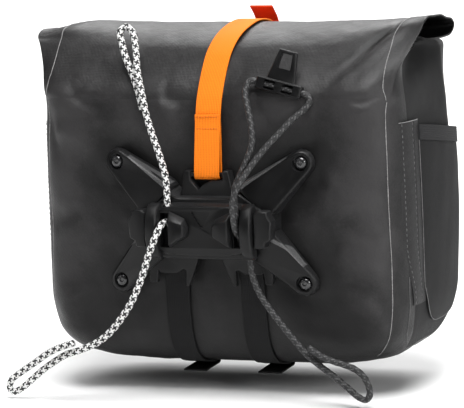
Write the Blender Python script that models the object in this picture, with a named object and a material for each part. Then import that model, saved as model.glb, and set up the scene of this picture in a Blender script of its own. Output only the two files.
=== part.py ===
"""Bicycle handlebar bag with a roll top and a quick-release bracket.

Frame: metres, +Z up, +X to the rider's right, the handlebar side faces -Y.
The origin is where the handlebar lies against the bracket.
"""
import math

import bmesh
import bpy
from mathutils import Matrix, Vector

MM = 0.001

# Clearances between pieces that touch on the real bag
GAP = 0.3 * MM

# Bag shell
BAG_WIDTH = 304 * MM
BAG_DEPTH = 160 * MM
BAG_HEIGHT = 241 * MM
BAG_BOTTOM_Z = -117 * MM
BACK_PANEL_Y = 34 * MM
CORNER_RADIUS = 40 * MM
SHELL_WALL = 2.0 * MM
MOUTH_GAP = 8.4 * MM
MOUTH_LIP = 1.6 * MM
MOUTH_LENGTH = 284 * MM

# Rolled closure
ROLL_LENGTH = 322 * MM
ROLL_DEPTH = 79 * MM
ROLL_THICKNESS = 19 * MM
ROLL_TURNS = 2.1
ROLL_WALL = 1.8 * MM
ROLL_PITCH = 3.1 * MM
ROLL_END_RISE = 6 * MM
CROWN_START = 0.8
ROLL_END_TILT = 5.0

# Side pockets
POCKET_WALL = 1.4 * MM
POCKET_BULGE = 7.0 * MM
POCKET_BACK_Y = 88 * MM
POCKET_FRONT_MARGIN = 16 * MM
POCKET_FRONT_Y = BACK_PANEL_Y + BAG_DEPTH - POCKET_FRONT_MARGIN
POCKET_BOTTOM_Z = -86 * MM
POCKET_BACK_TOP_Z = 70 * MM
POCKET_FRONT_TOP_Z = 56 * MM
HEM_HEIGHT = 12 * MM
HEM_WALL = 2.2 * MM
TAPE_BACK_Y = 56 * MM
TAPE_WALL = 1.0 * MM

# Adapter plate, screwed to the back panel
HUB_FACE_Y = 16.5 * MM
SCREW_X = 76 * MM
SCREW_Z = 46.5 * MM
ARM_FACE_Y = 26 * MM
ARM_ROOT_RADIUS = 40 * MM
ARM_END_RADIUS = 10.5 * MM
ARM_DRAFT = 2.4 * MM
EDGE_BEVEL = 0.9 * MM
LUG_FRONT_Y = 24 * MM
LUG_BACK_Y = 29.6 * MM
BRIDGE_FRONT_Y = 22.5 * MM
BRIDGE_BACK_Y = 33 * MM
BAR_Y = 28 * MM
BAR_Z = 36.8 * MM
BAR_RADIUS = 1.9 * MM
BAR_HALF = 14.5 * MM
RECESS_RADIUS = 6.4 * MM
RECESS_FLOOR_Y = 29.5 * MM
SCREW_HOLE_RADIUS = 2.9 * MM

# Screws
HEAD_RADIUS = 5.2 * MM
HEAD_HEIGHT = 3.3 * MM
SHANK_RADIUS = 2.5 * MM
SOCKET_RADIUS = 1.7 * MM
SOCKET_DEPTH = 1.6 * MM

# Bracket housing that ties to the handlebar
HOUSING_FRONT_Y = 8.5 * MM
HOUSING_BACK_Y = HUB_FACE_Y - GAP
DRUM_INNER_X = 34.3 * MM
DRUM_OUTER_X = 43.2 * MM
DRUM_CENTRE_Y = 12 * MM
DRUM_CENTRE_Z = -4.5 * MM
DRUM_HALF_Y = 13 * MM
DRUM_HALF_Z = 21.5 * MM
CORD_SLOT_INNER_X = 26.5 * MM
CORD_SLOT_TOP_Z = 9.6 * MM
CORD_SLOT_BOTTOM_Z = -17 * MM
NOTCH_FRONT_Y = 10.3 * MM
NOTCH_HALF = 3.1 * MM
GUIDE_FACE_Y = 0.0 * MM
LATCH_FRONT_Y = 4 * MM

# Webbing
CLOSURE_WIDTH = 21 * MM
LOWER_STRAP_WIDTH = 20 * MM
TAB_WIDTH = 19.5 * MM
WEBBING = 1.5 * MM
STRAP_LAP_TOP_Z = 83 * MM
LOWER_STRAP_X = 31.5 * MM
LOWER_STRAP_END_Y = 88 * MM
LOWER_STRAP_TAB = 28 * MM
CLASP_WIDTH = 28 * MM

# Cords
WHITE_CORD = 5.4 * MM
BLACK_CORD = 5.0 * MM

# Cord hook
HOOK_CENTRE = Vector((59.0 * MM, 34.0 * MM, 103.5 * MM))
HOOK_ROLL = 14.0
HOOK_LEAN = 12.0
HOOK_BAR_LENGTH = 37.5 * MM
HOOK_BAR_HEIGHT = 10.5 * MM
HOOK_BAR_THICKNESS = 8.4 * MM
HOOK_BORE_RADIUS = BLACK_CORD / 2 + 0.6 * MM
HOOK_HEAD_THICKNESS = 3.4 * MM
HOOK_HEAD_TOP = 29 * MM

# Bag sections, bottom to top. Shares: of BAG_HEIGHT, of half the width,
# of the depth to the back and to the front face, and of CORNER_RADIUS.
BAG_SECTIONS = (
    # height, width, back, front, corner
    (0.000, 0.730, 0.250, 0.780, 0.95),
    (0.022, 0.835, 0.140, 0.885, 1.00),
    (0.065, 0.925, 0.060, 0.950, 1.00),
    (0.130, 0.978, 0.018, 0.985, 1.00),
    (0.230, 1.000, 0.000, 1.000, 1.00),
    (0.480, 1.000, 0.000, 1.020, 1.00),
    (0.734, 0.995, 0.000, 1.000, 1.00),
    (0.834, 0.992, 0.010, 0.980, 1.00),
    (0.900, 0.994, 0.035, 0.955, 0.98),
    (0.942, 0.992, 0.075, 0.920, 0.92),
    (0.975, 0.988, 0.140, 0.870, 0.85),
    (0.992, 0.980, 0.200, 0.810, 0.75),
    (1.000, 0.965, 0.262, 0.756, 0.60),
)

# Cord routes in millimetres, chosen by hand
WHITE_UPPER_ROUTE = (
    (-29.0, 13.3, 11.0), (-29.0, 13.3, 18.0), (-29.5, 13.3, 36.5), (-34.0, 14.0, 53.5),
    (-40.5, 17.0, 69.0), (-46.5, 21.0, 83.5), (-51.5, 26.0, 99.0), (-57.5, 33.0, 116.5),
    (-61.5, 41.0, 131.5), (-66.0, 48.0, 143.5), (-72.5, 51.0, 149.0), (-77.5, 49.0, 145.0),
    (-75.0, 46.0, 136.0), (-70.5, 42.5, 124.5), (-64.0, 38.5, 113.0), (-57.5, 33.5, 99.0),
    (-53.0, 29.0, 87.0),
)
WHITE_LOWER_ROUTE = (
    (-30.4, 12.6, 2.0), (-30.4, 5.5, 1.6), (-30.6, -0.6, -0.8), (-32.2, -4.2, -6.0),
    (-35.2, -5.0, -13.0), (-39.2, -5.0, -22.5), (-43.5, -5.0, -34.5), (-49.0, -5.0, -47.0), (-56.0, -5.0, -60.0),
    (-65.5, -5.0, -73.0), (-76.0, -5.0, -84.0), (-88.0, -4.0, -92.0), (-101.5, -3.0, -97.5),
    (-113.5, -2.0, -101.5), (-122.5, -2.0, -106.5), (-133.0, -2.0, -113.5), (-142.5, -2.0, -121.0),
    (-152.5, -2.0, -129.0), (-160.0, -2.0, -132.5), (-163.5, -2.0, -129.0), (-161.0, -2.5, -122.5),
    (-152.0, -3.0, -116.0), (-139.5, -4.0, -108.0), (-128.0, -5.5, -100.5), (-116.5, -7.0, -95.0),
    (-104.0, -8.0, -91.0),
)
BLACK_UPPER_ROUTE = (
    (30.0, 12.8, 3.0), (30.1, 8.8, 3.0), (30.5, 5.0, 7.0), (30.6, 4.2, 14.0), (30.6, 3.8, 20.0),
    (30.5, 4.5, 29.0), (34.5, 6.0, 38.5), (40.0, 9.0, 51.5), (43.5, 12.0, 63.0),
    (41.5, 17.0, 77.0), (36.5, 23.5, 90.0), (33.0, 29.0, 100.5), (34.6, 33.2, 107.8),
    (39.2, 34.0, 108.5), (50.0, 34.0, 105.75), (59.0, 34.0, 103.5), (68.0, 34.0, 101.25),
    (80.0, 34.0, 98.2), (83.6, 33.0, 93.2), (79.4, 30.0, 86.8), (71.5, 25.5, 80.0),
    (64.0, 20.5, 71.5), (55.5, 14.5, 62.0), (48.0, 9.5, 52.5), (40.8, 3.8, 41.5),
    (35.0, -1.0, 31.0), (31.2, -2.2, 20.0), (30.6, -1.0, 9.0), (30.4, 2.5, -0.5),
    (30.2, 7.0, -5.5), (30.0, 12.8, -8.5),
)
BLACK_LOWER_ROUTE = (
    (38.0, 13.3, -19.0), (38.0, 13.3, -27.0), (39.0, 13.0, -38.0), (44.5, 12.0, -51.5),
    (53.5, 11.0, -64.5), (64.0, 10.0, -77.0), (74.5, 9.0, -89.0), (84.5, 8.0, -99.0),
    (94.0, 8.0, -106.5), (104.5, 8.0, -114.0), (114.5, 8.0, -122.0), (123.0, 8.0, -128.8),
    (129.5, 8.0, -130.8), (132.5, 8.0, -125.0), (129.5, 8.0, -115.5), (123.0, 7.5, -108.5),
    (114.0, 7.0, -104.5), (104.0, 6.0, -101.5), (95.5, 4.5, -97.5), (86.0, 3.0, -91.0),
)
CORD_STEP = 2.6
CORD_TURN = 24.0


def clear_scene():
    for item in list(bpy.data.objects):
        bpy.data.objects.remove(item, do_unlink=True)


def material(name, colour, roughness, metallic=0.0):
    made = bpy.data.materials.new(name)
    made.use_nodes = True
    shader = made.node_tree.nodes["Principled BSDF"]
    shader.inputs["Base Color"].default_value = (*colour, 1.0)
    shader.inputs["Roughness"].default_value = roughness
    shader.inputs["Metallic"].default_value = metallic
    return made


def add_mesh(name, verts, faces, look, smooth_angle=35.0):
    """One closed mesh object with its faces pointing out."""
    data = bpy.data.meshes.new(name)
    data.from_pydata([tuple(v) for v in verts], [], faces)
    shape = bmesh.new()
    shape.from_mesh(data)
    bmesh.ops.recalc_face_normals(shape, faces=shape.faces)
    shape.to_mesh(data)
    shape.free()
    if look is not None:
        data.materials.append(look)
    data.shade_smooth()
    data.set_sharp_from_angle(angle=math.radians(smooth_angle))
    made = bpy.data.objects.new(name, data)
    bpy.context.scene.collection.objects.link(made)
    return made


def loft(rings):
    """Vertices and faces of a solid through equal rings, capped at both ends."""
    count = len(rings[0])
    verts = [point for ring in rings for point in ring]
    faces = [tuple(reversed(range(count)))]
    for low in range(len(rings) - 1):
        for i in range(count):
            j = (i + 1) % count
            a, b = low * count, (low + 1) * count
            faces.append((a + i, a + j, b + j, b + i))
    last = (len(rings) - 1) * count
    faces.append(tuple(range(last, last + count)))
    return verts, faces


def prism(name, outline, front_y, back_y, look, front_outline=None):
    """A plate from an outline in X and Z; front_y may be a function of the point."""
    face_at = front_y if callable(front_y) else (lambda x, z: front_y)
    front = front_outline or outline
    back_ring = [Vector((x, back_y, z)) for x, z in outline]
    front_ring = [Vector((x, face_at(x, z), z)) for x, z in front]
    verts, faces = loft([back_ring, front_ring])
    return add_mesh(name, verts, faces, look)


def bevel(item, width=EDGE_BEVEL, segments=1, angle=40.0):
    made = item.modifiers.new("Bevel", "BEVEL")
    made.width = width
    made.segments = segments
    made.limit_method = "ANGLE"
    made.angle_limit = math.radians(angle)
    return item


def as_tool(item):
    item.hide_render = True
    item.display_type = "WIRE"
    return item


def boolean(item, tool, operation):
    made = item.modifiers.new(operation.title(), "BOOLEAN")
    made.operation = operation
    made.solver = "EXACT"
    made.object = as_tool(tool)


def mirrored(points):
    return [(-x, z) for x, z in reversed(points)]


def arc(centre, radius, start, end, steps):
    """Points in degrees from start to end round a centre."""
    span = [math.radians(start + (end - start) * i / steps) for i in range(steps + 1)]
    return [(centre[0] + radius * math.cos(a), centre[1] + radius * math.sin(a)) for a in span]


def dense_curve(points):
    """Catmull-Rom curve through the points, read very finely."""
    ends = [2 * points[0] - points[1], *points, 2 * points[-1] - points[-2]]
    dense = []
    fine = 24
    for i in range(1, len(ends) - 2):
        p0, p1, p2, p3 = ends[i - 1:i + 3]
        for k in range(fine):
            t = k / fine
            dense.append(0.5 * (2 * p1 + (p2 - p0) * t + (2 * p0 - 5 * p1 + 4 * p2 - p3) * t * t
                                + (3 * p1 - p0 - 3 * p2 + p3) * t ** 3))
    dense.append(points[-1].copy())
    return dense


def by_bend(points, longest, turn=22.0):
    """Points along the smooth curve, closer together where it bends."""
    dense = dense_curve(points)
    limit = math.radians(turn)
    out = [dense[0]]
    heading = (dense[1] - dense[0]).normalized()
    for here, after in zip(dense[1:-1], dense[2:]):
        ahead = (after - here).normalized()
        far = (here - out[-1]).length
        if far > longest or (far > 0.4 * MM and ahead.angle(heading) > limit):
            out.append(here)
            heading = ahead
    out.append(dense[-1])
    return out


def at_share(share):
    """Height of a share of the bag's own height."""
    return BAG_BOTTOM_Z + share * BAG_HEIGHT


def section(z):
    """Half width, back y, front y and corner radius of the bag at a height."""
    share = min(max((z - BAG_BOTTOM_Z) / BAG_HEIGHT, 0.0), 1.0)
    for low, high in zip(BAG_SECTIONS, BAG_SECTIONS[1:]):
        if share <= high[0]:
            t = (share - low[0]) / (high[0] - low[0])
            width, back, front, corner = (a + (b - a) * t for a, b in zip(low[1:], high[1:]))
            return (width * BAG_WIDTH / 2, BACK_PANEL_Y + back * BAG_DEPTH,
                    BACK_PANEL_Y + front * BAG_DEPTH, corner * CORNER_RADIUS)


def side_x(y, z):
    """Half width of the bag's side at a depth and a height."""
    half, back, front, radius = section(z)
    off = max(back + radius - y, y - (front - radius), 0.0)
    return half - radius + math.sqrt(max(radius ** 2 - off ** 2, 0.0))


def crown(x, share):
    """How far the top of the bag rises toward its ends, to meet the roll."""
    blend = min(max((share - CROWN_START) / (1 - CROWN_START), 0.0), 1.0)
    return ROLL_END_RISE * (2 * x / ROLL_LENGTH) ** 2 * blend ** 2


def rounded_ring(half, back, front, radius, z, share=0.0):
    """A ring with round corners: 5 points a corner, 5 along X and 3 along Y."""
    ring = []
    corners = ((half - radius, back + radius, -90), (half - radius, front - radius, 0),
               (-half + radius, front - radius, 90), (-half + radius, back + radius, 180))
    for index, (cx, cy, start) in enumerate(corners):
        points = arc((cx, cy), radius, start, start + 90, 4)
        ring.extend(points)
        nx, ny, turn = corners[(index + 1) % 4]
        after = arc((nx, ny), radius, turn, turn + 90, 4)[0]
        last = points[-1]
        extra = 3 if index % 2 == 0 else 5
        for k in range(1, extra + 1):
            t = k / (extra + 1)
            ring.append((last[0] + (after[0] - last[0]) * t, last[1] + (after[1] - last[1]) * t))
    return [Vector((x, y, z + crown(x, share))) for x, y in ring]


def bag_body(look):
    """The welded shell, hollow, with its long mouth at the top."""
    outer, inner = [], []
    middle = BAG_BOTTOM_Z + BAG_HEIGHT / 2
    squeeze = 1 - 2 * SHELL_WALL / BAG_HEIGHT
    for row in BAG_SECTIONS:
        z = at_share(row[0])
        half, back, front, radius = section(z)
        outer.append(rounded_ring(half, back, front, radius, z, row[0]))
        inner.append(rounded_ring(half - SHELL_WALL, back + SHELL_WALL, front - SHELL_WALL,
                                  radius - SHELL_WALL, middle + (z - middle) * squeeze, row[0]))
    top = BAG_BOTTOM_Z + BAG_HEIGHT
    half, back, front, _ = section(top)
    mouth_y = (back + front) / 2
    reach = MOUTH_LENGTH / 2
    free = MOUTH_GAP / 2
    thick = free + SHELL_WALL
    lip = [
        rounded_ring(reach + SHELL_WALL, mouth_y - thick, mouth_y + thick, free, top + 0.4 * MM, 1.0),
        rounded_ring(reach + SHELL_WALL, mouth_y - thick, mouth_y + thick, free, top + MOUTH_LIP, 1.0),
        rounded_ring(reach, mouth_y - free, mouth_y + free, free * 0.7, top + MOUTH_LIP, 1.0),
        rounded_ring(reach, mouth_y - free, mouth_y + free, free * 0.7, top + 0.4 * MM - SHELL_WALL, 1.0),
    ]
    verts, faces = loft([*outer, *lip, *reversed(inner)])
    return add_mesh("bag_body", verts, faces, look, 50.0)


def roll_centre(x):
    """Middle of the roll's section at a place along its length."""
    top = BAG_BOTTOM_Z + BAG_HEIGHT
    _, back, front, _ = section(top)
    share = (2 * x / ROLL_LENGTH) ** 2
    z = top + MOUTH_LIP + GAP + ROLL_THICKNESS / 2 + ROLL_END_RISE * share
    return Vector((x, (back + front) / 2, z)), math.radians(-ROLL_END_TILT) * share


def roll_top(look):
    """The rolled mouth: a flattened spiral, open at both ends."""
    per_turn = 16
    total = round(ROLL_TURNS * per_turn)
    outer, inner = [], []
    for i in range(total + 1):
        angle = math.radians(205) - 2 * math.pi * i / per_turn
        drop = ROLL_PITCH * i / per_turn
        for rim, less in ((outer, drop), (inner, drop + ROLL_WALL)):
            half_y = ROLL_DEPTH / 2 - less
            half_z = ROLL_THICKNESS / 2 - less
            c, s = math.cos(angle), math.sin(angle)
            flat = 0.55
            rim.append((half_y * math.copysign(abs(c) ** flat, c), half_z * math.copysign(abs(s) ** flat, s)))
    outline = outer + list(reversed(inner))
    rings = []
    stations = 8
    for k in range(stations + 1):
        x = ROLL_LENGTH * (k / stations - 0.5)
        centre, tilt = roll_centre(x)
        c, s = math.cos(tilt), math.sin(tilt)
        rings.append([centre + Vector((0, y * c - z * s, y * s + z * c)) for y, z in outline])
    verts, faces = loft(rings)
    return add_mesh("roll_top", verts, faces, look, 50.0)


def side_sheet(name, side, columns, rows, inner_off, wall, look):
    """A closed sheet standing off the bag's side by inner_off(u, v)."""
    grid_in, grid_out = [], []
    for v, heights in rows:
        line_in, line_out = [], []
        for u, y in columns:
            z = heights(y)
            x = side_x(y, z) + inner_off(u, v)
            line_in.append(Vector((side * x, y, z)))
            line_out.append(Vector((side * (x + wall), y, z)))
        grid_in.append(line_in)
        grid_out.append(line_out)
    rings = [line_in + list(reversed(line_out)) for line_in, line_out in zip(grid_in, grid_out)]
    verts, faces = loft(rings)
    return add_mesh(name, verts, faces, look, 50.0)


def pocket_top(y):
    """Height of the pocket's upper edge, which falls toward the front."""
    share = (y - POCKET_BACK_Y) / (POCKET_FRONT_Y - POCKET_BACK_Y)
    return POCKET_BACK_TOP_Z + (POCKET_FRONT_TOP_Z - POCKET_BACK_TOP_Z) * share


def side_pocket(side_name, side, cloth, hem_cloth, tape_cloth):
    steps = 10
    columns = [(i / steps, POCKET_BACK_Y + (POCKET_FRONT_Y - POCKET_BACK_Y) * i / steps)
               for i in range(steps + 1)]

    def height_at(share):
        return lambda y: POCKET_BOTTOM_Z + (pocket_top(y) - HEM_HEIGHT - GAP - POCKET_BOTTOM_Z) * share

    def swell(u, v):
        return 2 * GAP + POCKET_BULGE * math.sin(math.pi * u) ** 0.7 * math.sin(math.pi / 2 * v) ** 0.6

    rows = [(i / 6, height_at(i / 6)) for i in range(7)]
    side_sheet("pocket_" + side_name, side, columns, rows, swell, POCKET_WALL, cloth)
    hem_rows = [(1.0, lambda y: pocket_top(y) - HEM_HEIGHT), (1.0, pocket_top)]
    side_sheet("pocket_hem_" + side_name, side, columns, hem_rows, swell, HEM_WALL, hem_cloth)
    tape_columns = [(i / 4, TAPE_BACK_Y + (POCKET_BACK_Y - GAP - TAPE_BACK_Y) * i / 4) for i in range(5)]
    tape_rows = [(i / 5, (lambda share: lambda y: POCKET_BOTTOM_Z * 0.7
                          + (POCKET_BACK_TOP_Z - POCKET_BOTTOM_Z * 0.7) * share)(i / 5)) for i in range(6)]
    side_sheet("pocket_tape_" + side_name, side, tape_columns, tape_rows, lambda u, v: 2 * GAP,
               TAPE_WALL, tape_cloth)


def arm(name, side, up, look):
    """One sloping arm of the adapter, round at its screw."""
    centre = (SCREW_X, SCREW_Z)
    length = math.hypot(*centre)
    slope = (ARM_FACE_Y - HUB_FACE_Y) / (length - ARM_ROOT_RADIUS)
    root = [(30 * MM, 33 * MM), (26 * MM, 28 * MM), (50 * MM, 4 * MM), (57 * MM, 8 * MM)]
    if not up:
        root = [(37 * MM, 29 * MM), (36 * MM, 25 * MM), (51 * MM, 2 * MM), (57 * MM, 5.5 * MM)]
    tip = arc(centre, ARM_END_RADIUS, -38, 117, 7)
    tip_front = arc(centre, ARM_END_RADIUS - ARM_DRAFT * 0.6, -38, 117, 7)
    middle = Vector(centre) / 2
    root_front = [tuple(Vector(p) + (middle - Vector(p)).normalized() * ARM_DRAFT) for p in root]
    outline = root[::1] + tip
    front = root_front + tip_front

    def face(x, z):
        along = (abs(x) * SCREW_X + abs(z) * SCREW_Z) / length
        return HUB_FACE_Y + 0.1 * MM + slope * (along - ARM_ROOT_RADIUS)

    def place(points):
        return [(side * x, z if up else -z) for x, z in points]

    return bevel(prism(name, place(outline), face, BACK_PANEL_Y - GAP, look, place(front)))


def adapter_plate(look):
    """The X-shaped adapter: hub, four arms, strap bridge above and two lugs below."""
    half_back = [(57, 8), (57, -5), (37, -30), (9, -30)]
    half_front = [(54, 6), (54, -3.5), (36, -26), (9, -27)]
    crown_back = [(22, 24), (30, 31)]
    crown_front = [(21, 20), (29, 23)]
    back = [(x * MM, z * MM) for x, z in crown_back + half_back]
    front = [(x * MM, z * MM) for x, z in crown_front + half_front]
    hub = prism("adapter_plate", back + mirrored(back), HUB_FACE_Y, BACK_PANEL_Y - GAP, look,
                front + mirrored(front))
    bevel(hub)
    for up in (True, False):
        for side in (1, -1):
            boolean(hub, arm(f"arm_{'up' if up else 'low'}_{side}", side, up, look), "UNION")
    bridge_half = [(13.5, 33.2), (13.5, 40.3), (18.2, 40.3), (22.4, 19.0)]
    notch = [(-13.5, 33.2), (-11.5, 31.2), (-7.0, 25.5), (-2.5, 30.0), (3.0, 32.4)]
    bridge = [(x * MM, z * MM) for x, z in bridge_half]
    outline = bridge + mirrored(bridge)[:-1] + [(x * MM, z * MM) for x, z in notch]
    boolean(hub, bevel(prism("bridge_plate", outline, BRIDGE_FRONT_Y, BRIDGE_BACK_Y, look), 0.6 * MM), "UNION")
    boolean(hub, rod("bridge_bar", BAR_RADIUS, 2 * BAR_HALF, (0, BAR_Y, BAR_Z), "X", 10, look), "UNION")
    lug = [(7, -24), (9.3, -27.5), (18.5, -49.5), (21.0, -49.8), (20.3, -38.0), (23.0, -36.6),
           (28.0, -39.7), (42.0, -39.7), (43.6, -37.5), (45.0, -47.5), (50.5, -47.7), (52.0, -36.0),
           (53.0, -24)]
    points = [(x * MM, z * MM) for x, z in lug]
    boolean(hub, bevel(prism("lug_right", points, LUG_FRONT_Y, LUG_BACK_Y, look), 0.7 * MM), "UNION")
    boolean(hub, bevel(prism("lug_left", mirrored(points), LUG_FRONT_Y, LUG_BACK_Y, look), 0.7 * MM), "UNION")
    for x in (SCREW_X, -SCREW_X):
        for z in (SCREW_Z, -SCREW_Z):
            recess = rod("recess", RECESS_RADIUS, 12 * MM, (x, RECESS_FLOOR_Y - 6 * MM, z), "Y", 20, look)
            boolean(hub, recess, "DIFFERENCE")
            hole = rod("hole", SCREW_HOLE_RADIUS, 16 * MM, (x, RECESS_FLOOR_Y, z), "Y", 12, look)
            boolean(hub, hole, "DIFFERENCE")
    return hub


def rod(name, radius, length, centre, axis, sides, look):
    """A plain cylinder along X or Y."""
    half = length / 2
    rings = []
    for end in (-half, half):
        ring = []
        for a, b in arc((0, 0), radius, 0, 360, sides)[:-1]:
            offset = Vector((end, a, b)) if axis == "X" else Vector((a, end, b))
            ring.append(Vector(centre) + offset)
        rings.append(ring)
    verts, faces = loft(rings)
    return add_mesh(name, verts, faces, look)


def screws(look):
    """Domed cap screws with a small socket, turned about Y."""
    under = RECESS_FLOOR_Y - GAP
    top = under - HEAD_HEIGHT
    profile = (
        (0.0, top + SOCKET_DEPTH), (SOCKET_RADIUS, top + SOCKET_DEPTH), (SOCKET_RADIUS, top + 0.1 * MM),
        (HEAD_RADIUS * 0.62, top + HEAD_HEIGHT * 0.16), (HEAD_RADIUS * 0.88, top + HEAD_HEIGHT * 0.44),
        (HEAD_RADIUS, top + HEAD_HEIGHT * 0.78), (HEAD_RADIUS, under), (SHANK_RADIUS, under),
        (SHANK_RADIUS, BACK_PANEL_Y - 2 * GAP), (0.0, BACK_PANEL_Y - 2 * GAP),
    )
    sides = 14
    verts = [Vector((0, profile[0][1], 0))]
    rows = []
    for radius, y in profile[1:-1]:
        rows.append([len(verts) + i for i in range(sides)])
        verts.extend(Vector((x, y, z)) for x, z in arc((0, 0), radius, 0, 360, sides)[:-1])
    verts.append(Vector((0, profile[-1][1], 0)))
    faces = [(0, rows[0][i], rows[0][(i + 1) % sides]) for i in range(sides)]
    for a, b in zip(rows, rows[1:]):
        faces.extend((a[i], b[i], b[(i + 1) % sides], a[(i + 1) % sides]) for i in range(sides))
    faces.extend((len(verts) - 1, rows[-1][(i + 1) % sides], rows[-1][i]) for i in range(sides))
    for up, z in (("top", SCREW_Z), ("bottom", -SCREW_Z)):
        for hand, x in (("left", -SCREW_X), ("right", SCREW_X)):
            made = add_mesh(f"screw_{up}_{hand}", verts, faces, look)
            made.location = (x, 0, z)


def drum(name, side, look):
    """Half barrel that the cord bears on, at one end of the housing."""
    rings = []
    for x in (DRUM_INNER_X, DRUM_OUTER_X):
        ring = []
        for i in range(15):
            angle = math.radians(-112 + 224 * i / 14)
            y = DRUM_CENTRE_Y - DRUM_HALF_Y * math.cos(angle)
            z = DRUM_CENTRE_Z + DRUM_HALF_Z * math.sin(angle)
            ring.append(Vector((side * x, min(y, HOUSING_BACK_Y - 0.6 * MM), z)))
        rings.append(ring)
    verts, faces = loft(rings)
    return bevel(add_mesh(name, verts, faces, look))


def box(name, low, high, look):
    verts = [Vector((x, y, z)) for x in (low[0], high[0]) for y in (low[1], high[1]) for z in (low[2], high[2])]
    faces = [(0, 1, 3, 2), (4, 6, 7, 5), (0, 4, 5, 1), (2, 3, 7, 6), (0, 2, 6, 4), (1, 5, 7, 3)]
    return add_mesh(name, verts, faces, look)


def bracket_housing(look):
    """The housing with its two drums, cord slots and rear notches."""
    half_front = [(21, 14.8), (31, 12.8), (43.6, 6.6), (43.6, -15), (30, -21.5), (22, -23.2)]
    half_back = [(21, 17.4), (37, 17.0), (44.0, 12.4), (44.0, -17.4), (36, -23.0), (22, -23.8)]
    front = [(x * MM, z * MM) for x, z in half_front]
    back = [(x * MM, z * MM) for x, z in half_back]
    housing = prism("bracket_housing", back + mirrored(back), HOUSING_FRONT_Y, HOUSING_BACK_Y, look,
                    front + mirrored(front))
    bevel(housing)
    boolean(housing, drum("drum_right", 1, look), "UNION")
    boolean(housing, drum("drum_left", -1, look), "UNION")
    slot_outer = DRUM_INNER_X - 0.4 * MM
    for side in (1, -1):
        xs = sorted((side * CORD_SLOT_INNER_X, side * slot_outer))
        low = (xs[0], -5 * MM, CORD_SLOT_BOTTOM_Z)
        boolean(housing, box("cord_slot", low, (xs[1], 30 * MM, CORD_SLOT_TOP_Z), look), "DIFFERENCE")
    notch_x = WHITE_UPPER_ROUTE[0][0] * MM
    low = (notch_x - NOTCH_HALF, NOTCH_FRONT_Y, CORD_SLOT_TOP_Z - 1 * MM)
    boolean(housing, box("top_notch", low, (notch_x + NOTCH_HALF, 30 * MM, 30 * MM), look), "DIFFERENCE")
    notch_x = BLACK_LOWER_ROUTE[0][0] * MM
    low = (notch_x - NOTCH_HALF, NOTCH_FRONT_Y, -40 * MM)
    boolean(housing, box("low_notch", low, (notch_x + NOTCH_HALF, 30 * MM, -15 * MM), look), "DIFFERENCE")
    mark = [(-7.2, 11.0), (7.2, 11.0), (7.6, 9.6), (1.4, -1.2), (-1.4, -1.2), (-7.6, 9.6)]
    recess = prism("recess_mark", [(x * MM, z * MM) for x, z in mark], HOUSING_FRONT_Y - 5 * MM,
                   HOUSING_FRONT_Y + 1.8 * MM, look)
    boolean(housing, recess, "DIFFERENCE")
    return housing


def cord_guide(side_name, side, look):
    """Faceted wedge beside each cord slot."""
    inner = CORD_SLOT_INNER_X / MM - 0.3
    base = [(inner, 12.0), (12.5, 5.8), (9.8, -2.0), (11.0, -8.5), (inner, -18.0)]
    crest = [(inner - 1.6, 5.0), (13.4, 2.4), (12.0, 0.4), (12.2, -7.2), (inner - 2.0, -14.5)]
    back = [(side * x * MM, z * MM) for x, z in base]
    front = [(side * x * MM, z * MM) for x, z in crest]
    made = prism("cord_guide_" + side_name, back, GUIDE_FACE_Y, HOUSING_FRONT_Y - GAP, look, front)
    return bevel(made, 0.7 * MM)


def latch(side_name, side, look):
    """Plate outboard of each drum that hooks the housing to the hub."""
    outline = [(44.4, 10.0), (47.5, 12.2), (55.6, 12.0), (56.4, 7.8), (58.8, 4.4), (58.0, -9.6),
               (53.4, -12.2), (52.8, -16.4), (44.4, -16.8)]
    points = [(side * x * MM, z * MM) for x, z in outline]
    made = prism("latch_" + side_name, points, LATCH_FRONT_Y, HUB_FACE_Y - GAP, look)
    return bevel(made, 0.9 * MM)


def ribbon(name, path, width, thickness, x, look):
    """Webbing along a path in the Y-Z plane."""
    rings = []
    for i, point in enumerate(path):
        before = path[max(i - 1, 0)]
        after = path[min(i + 1, len(path) - 1)]
        along = (after - before).normalized()
        normal = Vector((0, along.z, -along.y)) * thickness / 2
        across = Vector((width / 2, 0, 0))
        centre = Vector((x, point.y, point.z))
        rings.append([centre - across - normal, centre + across - normal,
                      centre + across + normal, centre - across + normal])
    verts, faces = loft(rings)
    return add_mesh(name, verts, faces, look, 50.0)


def back_profile(z, off):
    """Point off the bag's back face at a height, in the Y-Z plane."""
    step = 1 * MM
    _, here, _, _ = section(z)
    _, above, _, _ = section(z + step)
    _, below, _, _ = section(z - step)
    tangent = Vector((0, above - below, 2 * step)).normalized()
    return Vector((0, here, z)) + Vector((0, -tangent.z, tangent.y)) * off


def front_profile(z, off):
    step = 1 * MM
    _, _, here, _ = section(z)
    _, _, above, _ = section(z + step)
    _, _, below, _ = section(z - step)
    tangent = Vector((0, above - below, 2 * step)).normalized()
    return Vector((0, here, z)) + Vector((0, tangent.z, -tangent.y)) * off


def roll_profile(angle, off):
    """Point off the roll's outer face at mid length; 180 degrees is its back edge."""
    centre, _ = roll_centre(0.0)
    turn = math.radians(angle)
    half_y = ROLL_DEPTH / 2 + off
    half_z = ROLL_THICKNESS / 2 + off
    c, s = math.cos(turn), math.sin(turn)
    flat = 0.55
    return centre + Vector((0, half_y * math.copysign(abs(c) ** flat, c),
                            half_z * math.copysign(abs(s) ** flat, s)))


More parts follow.
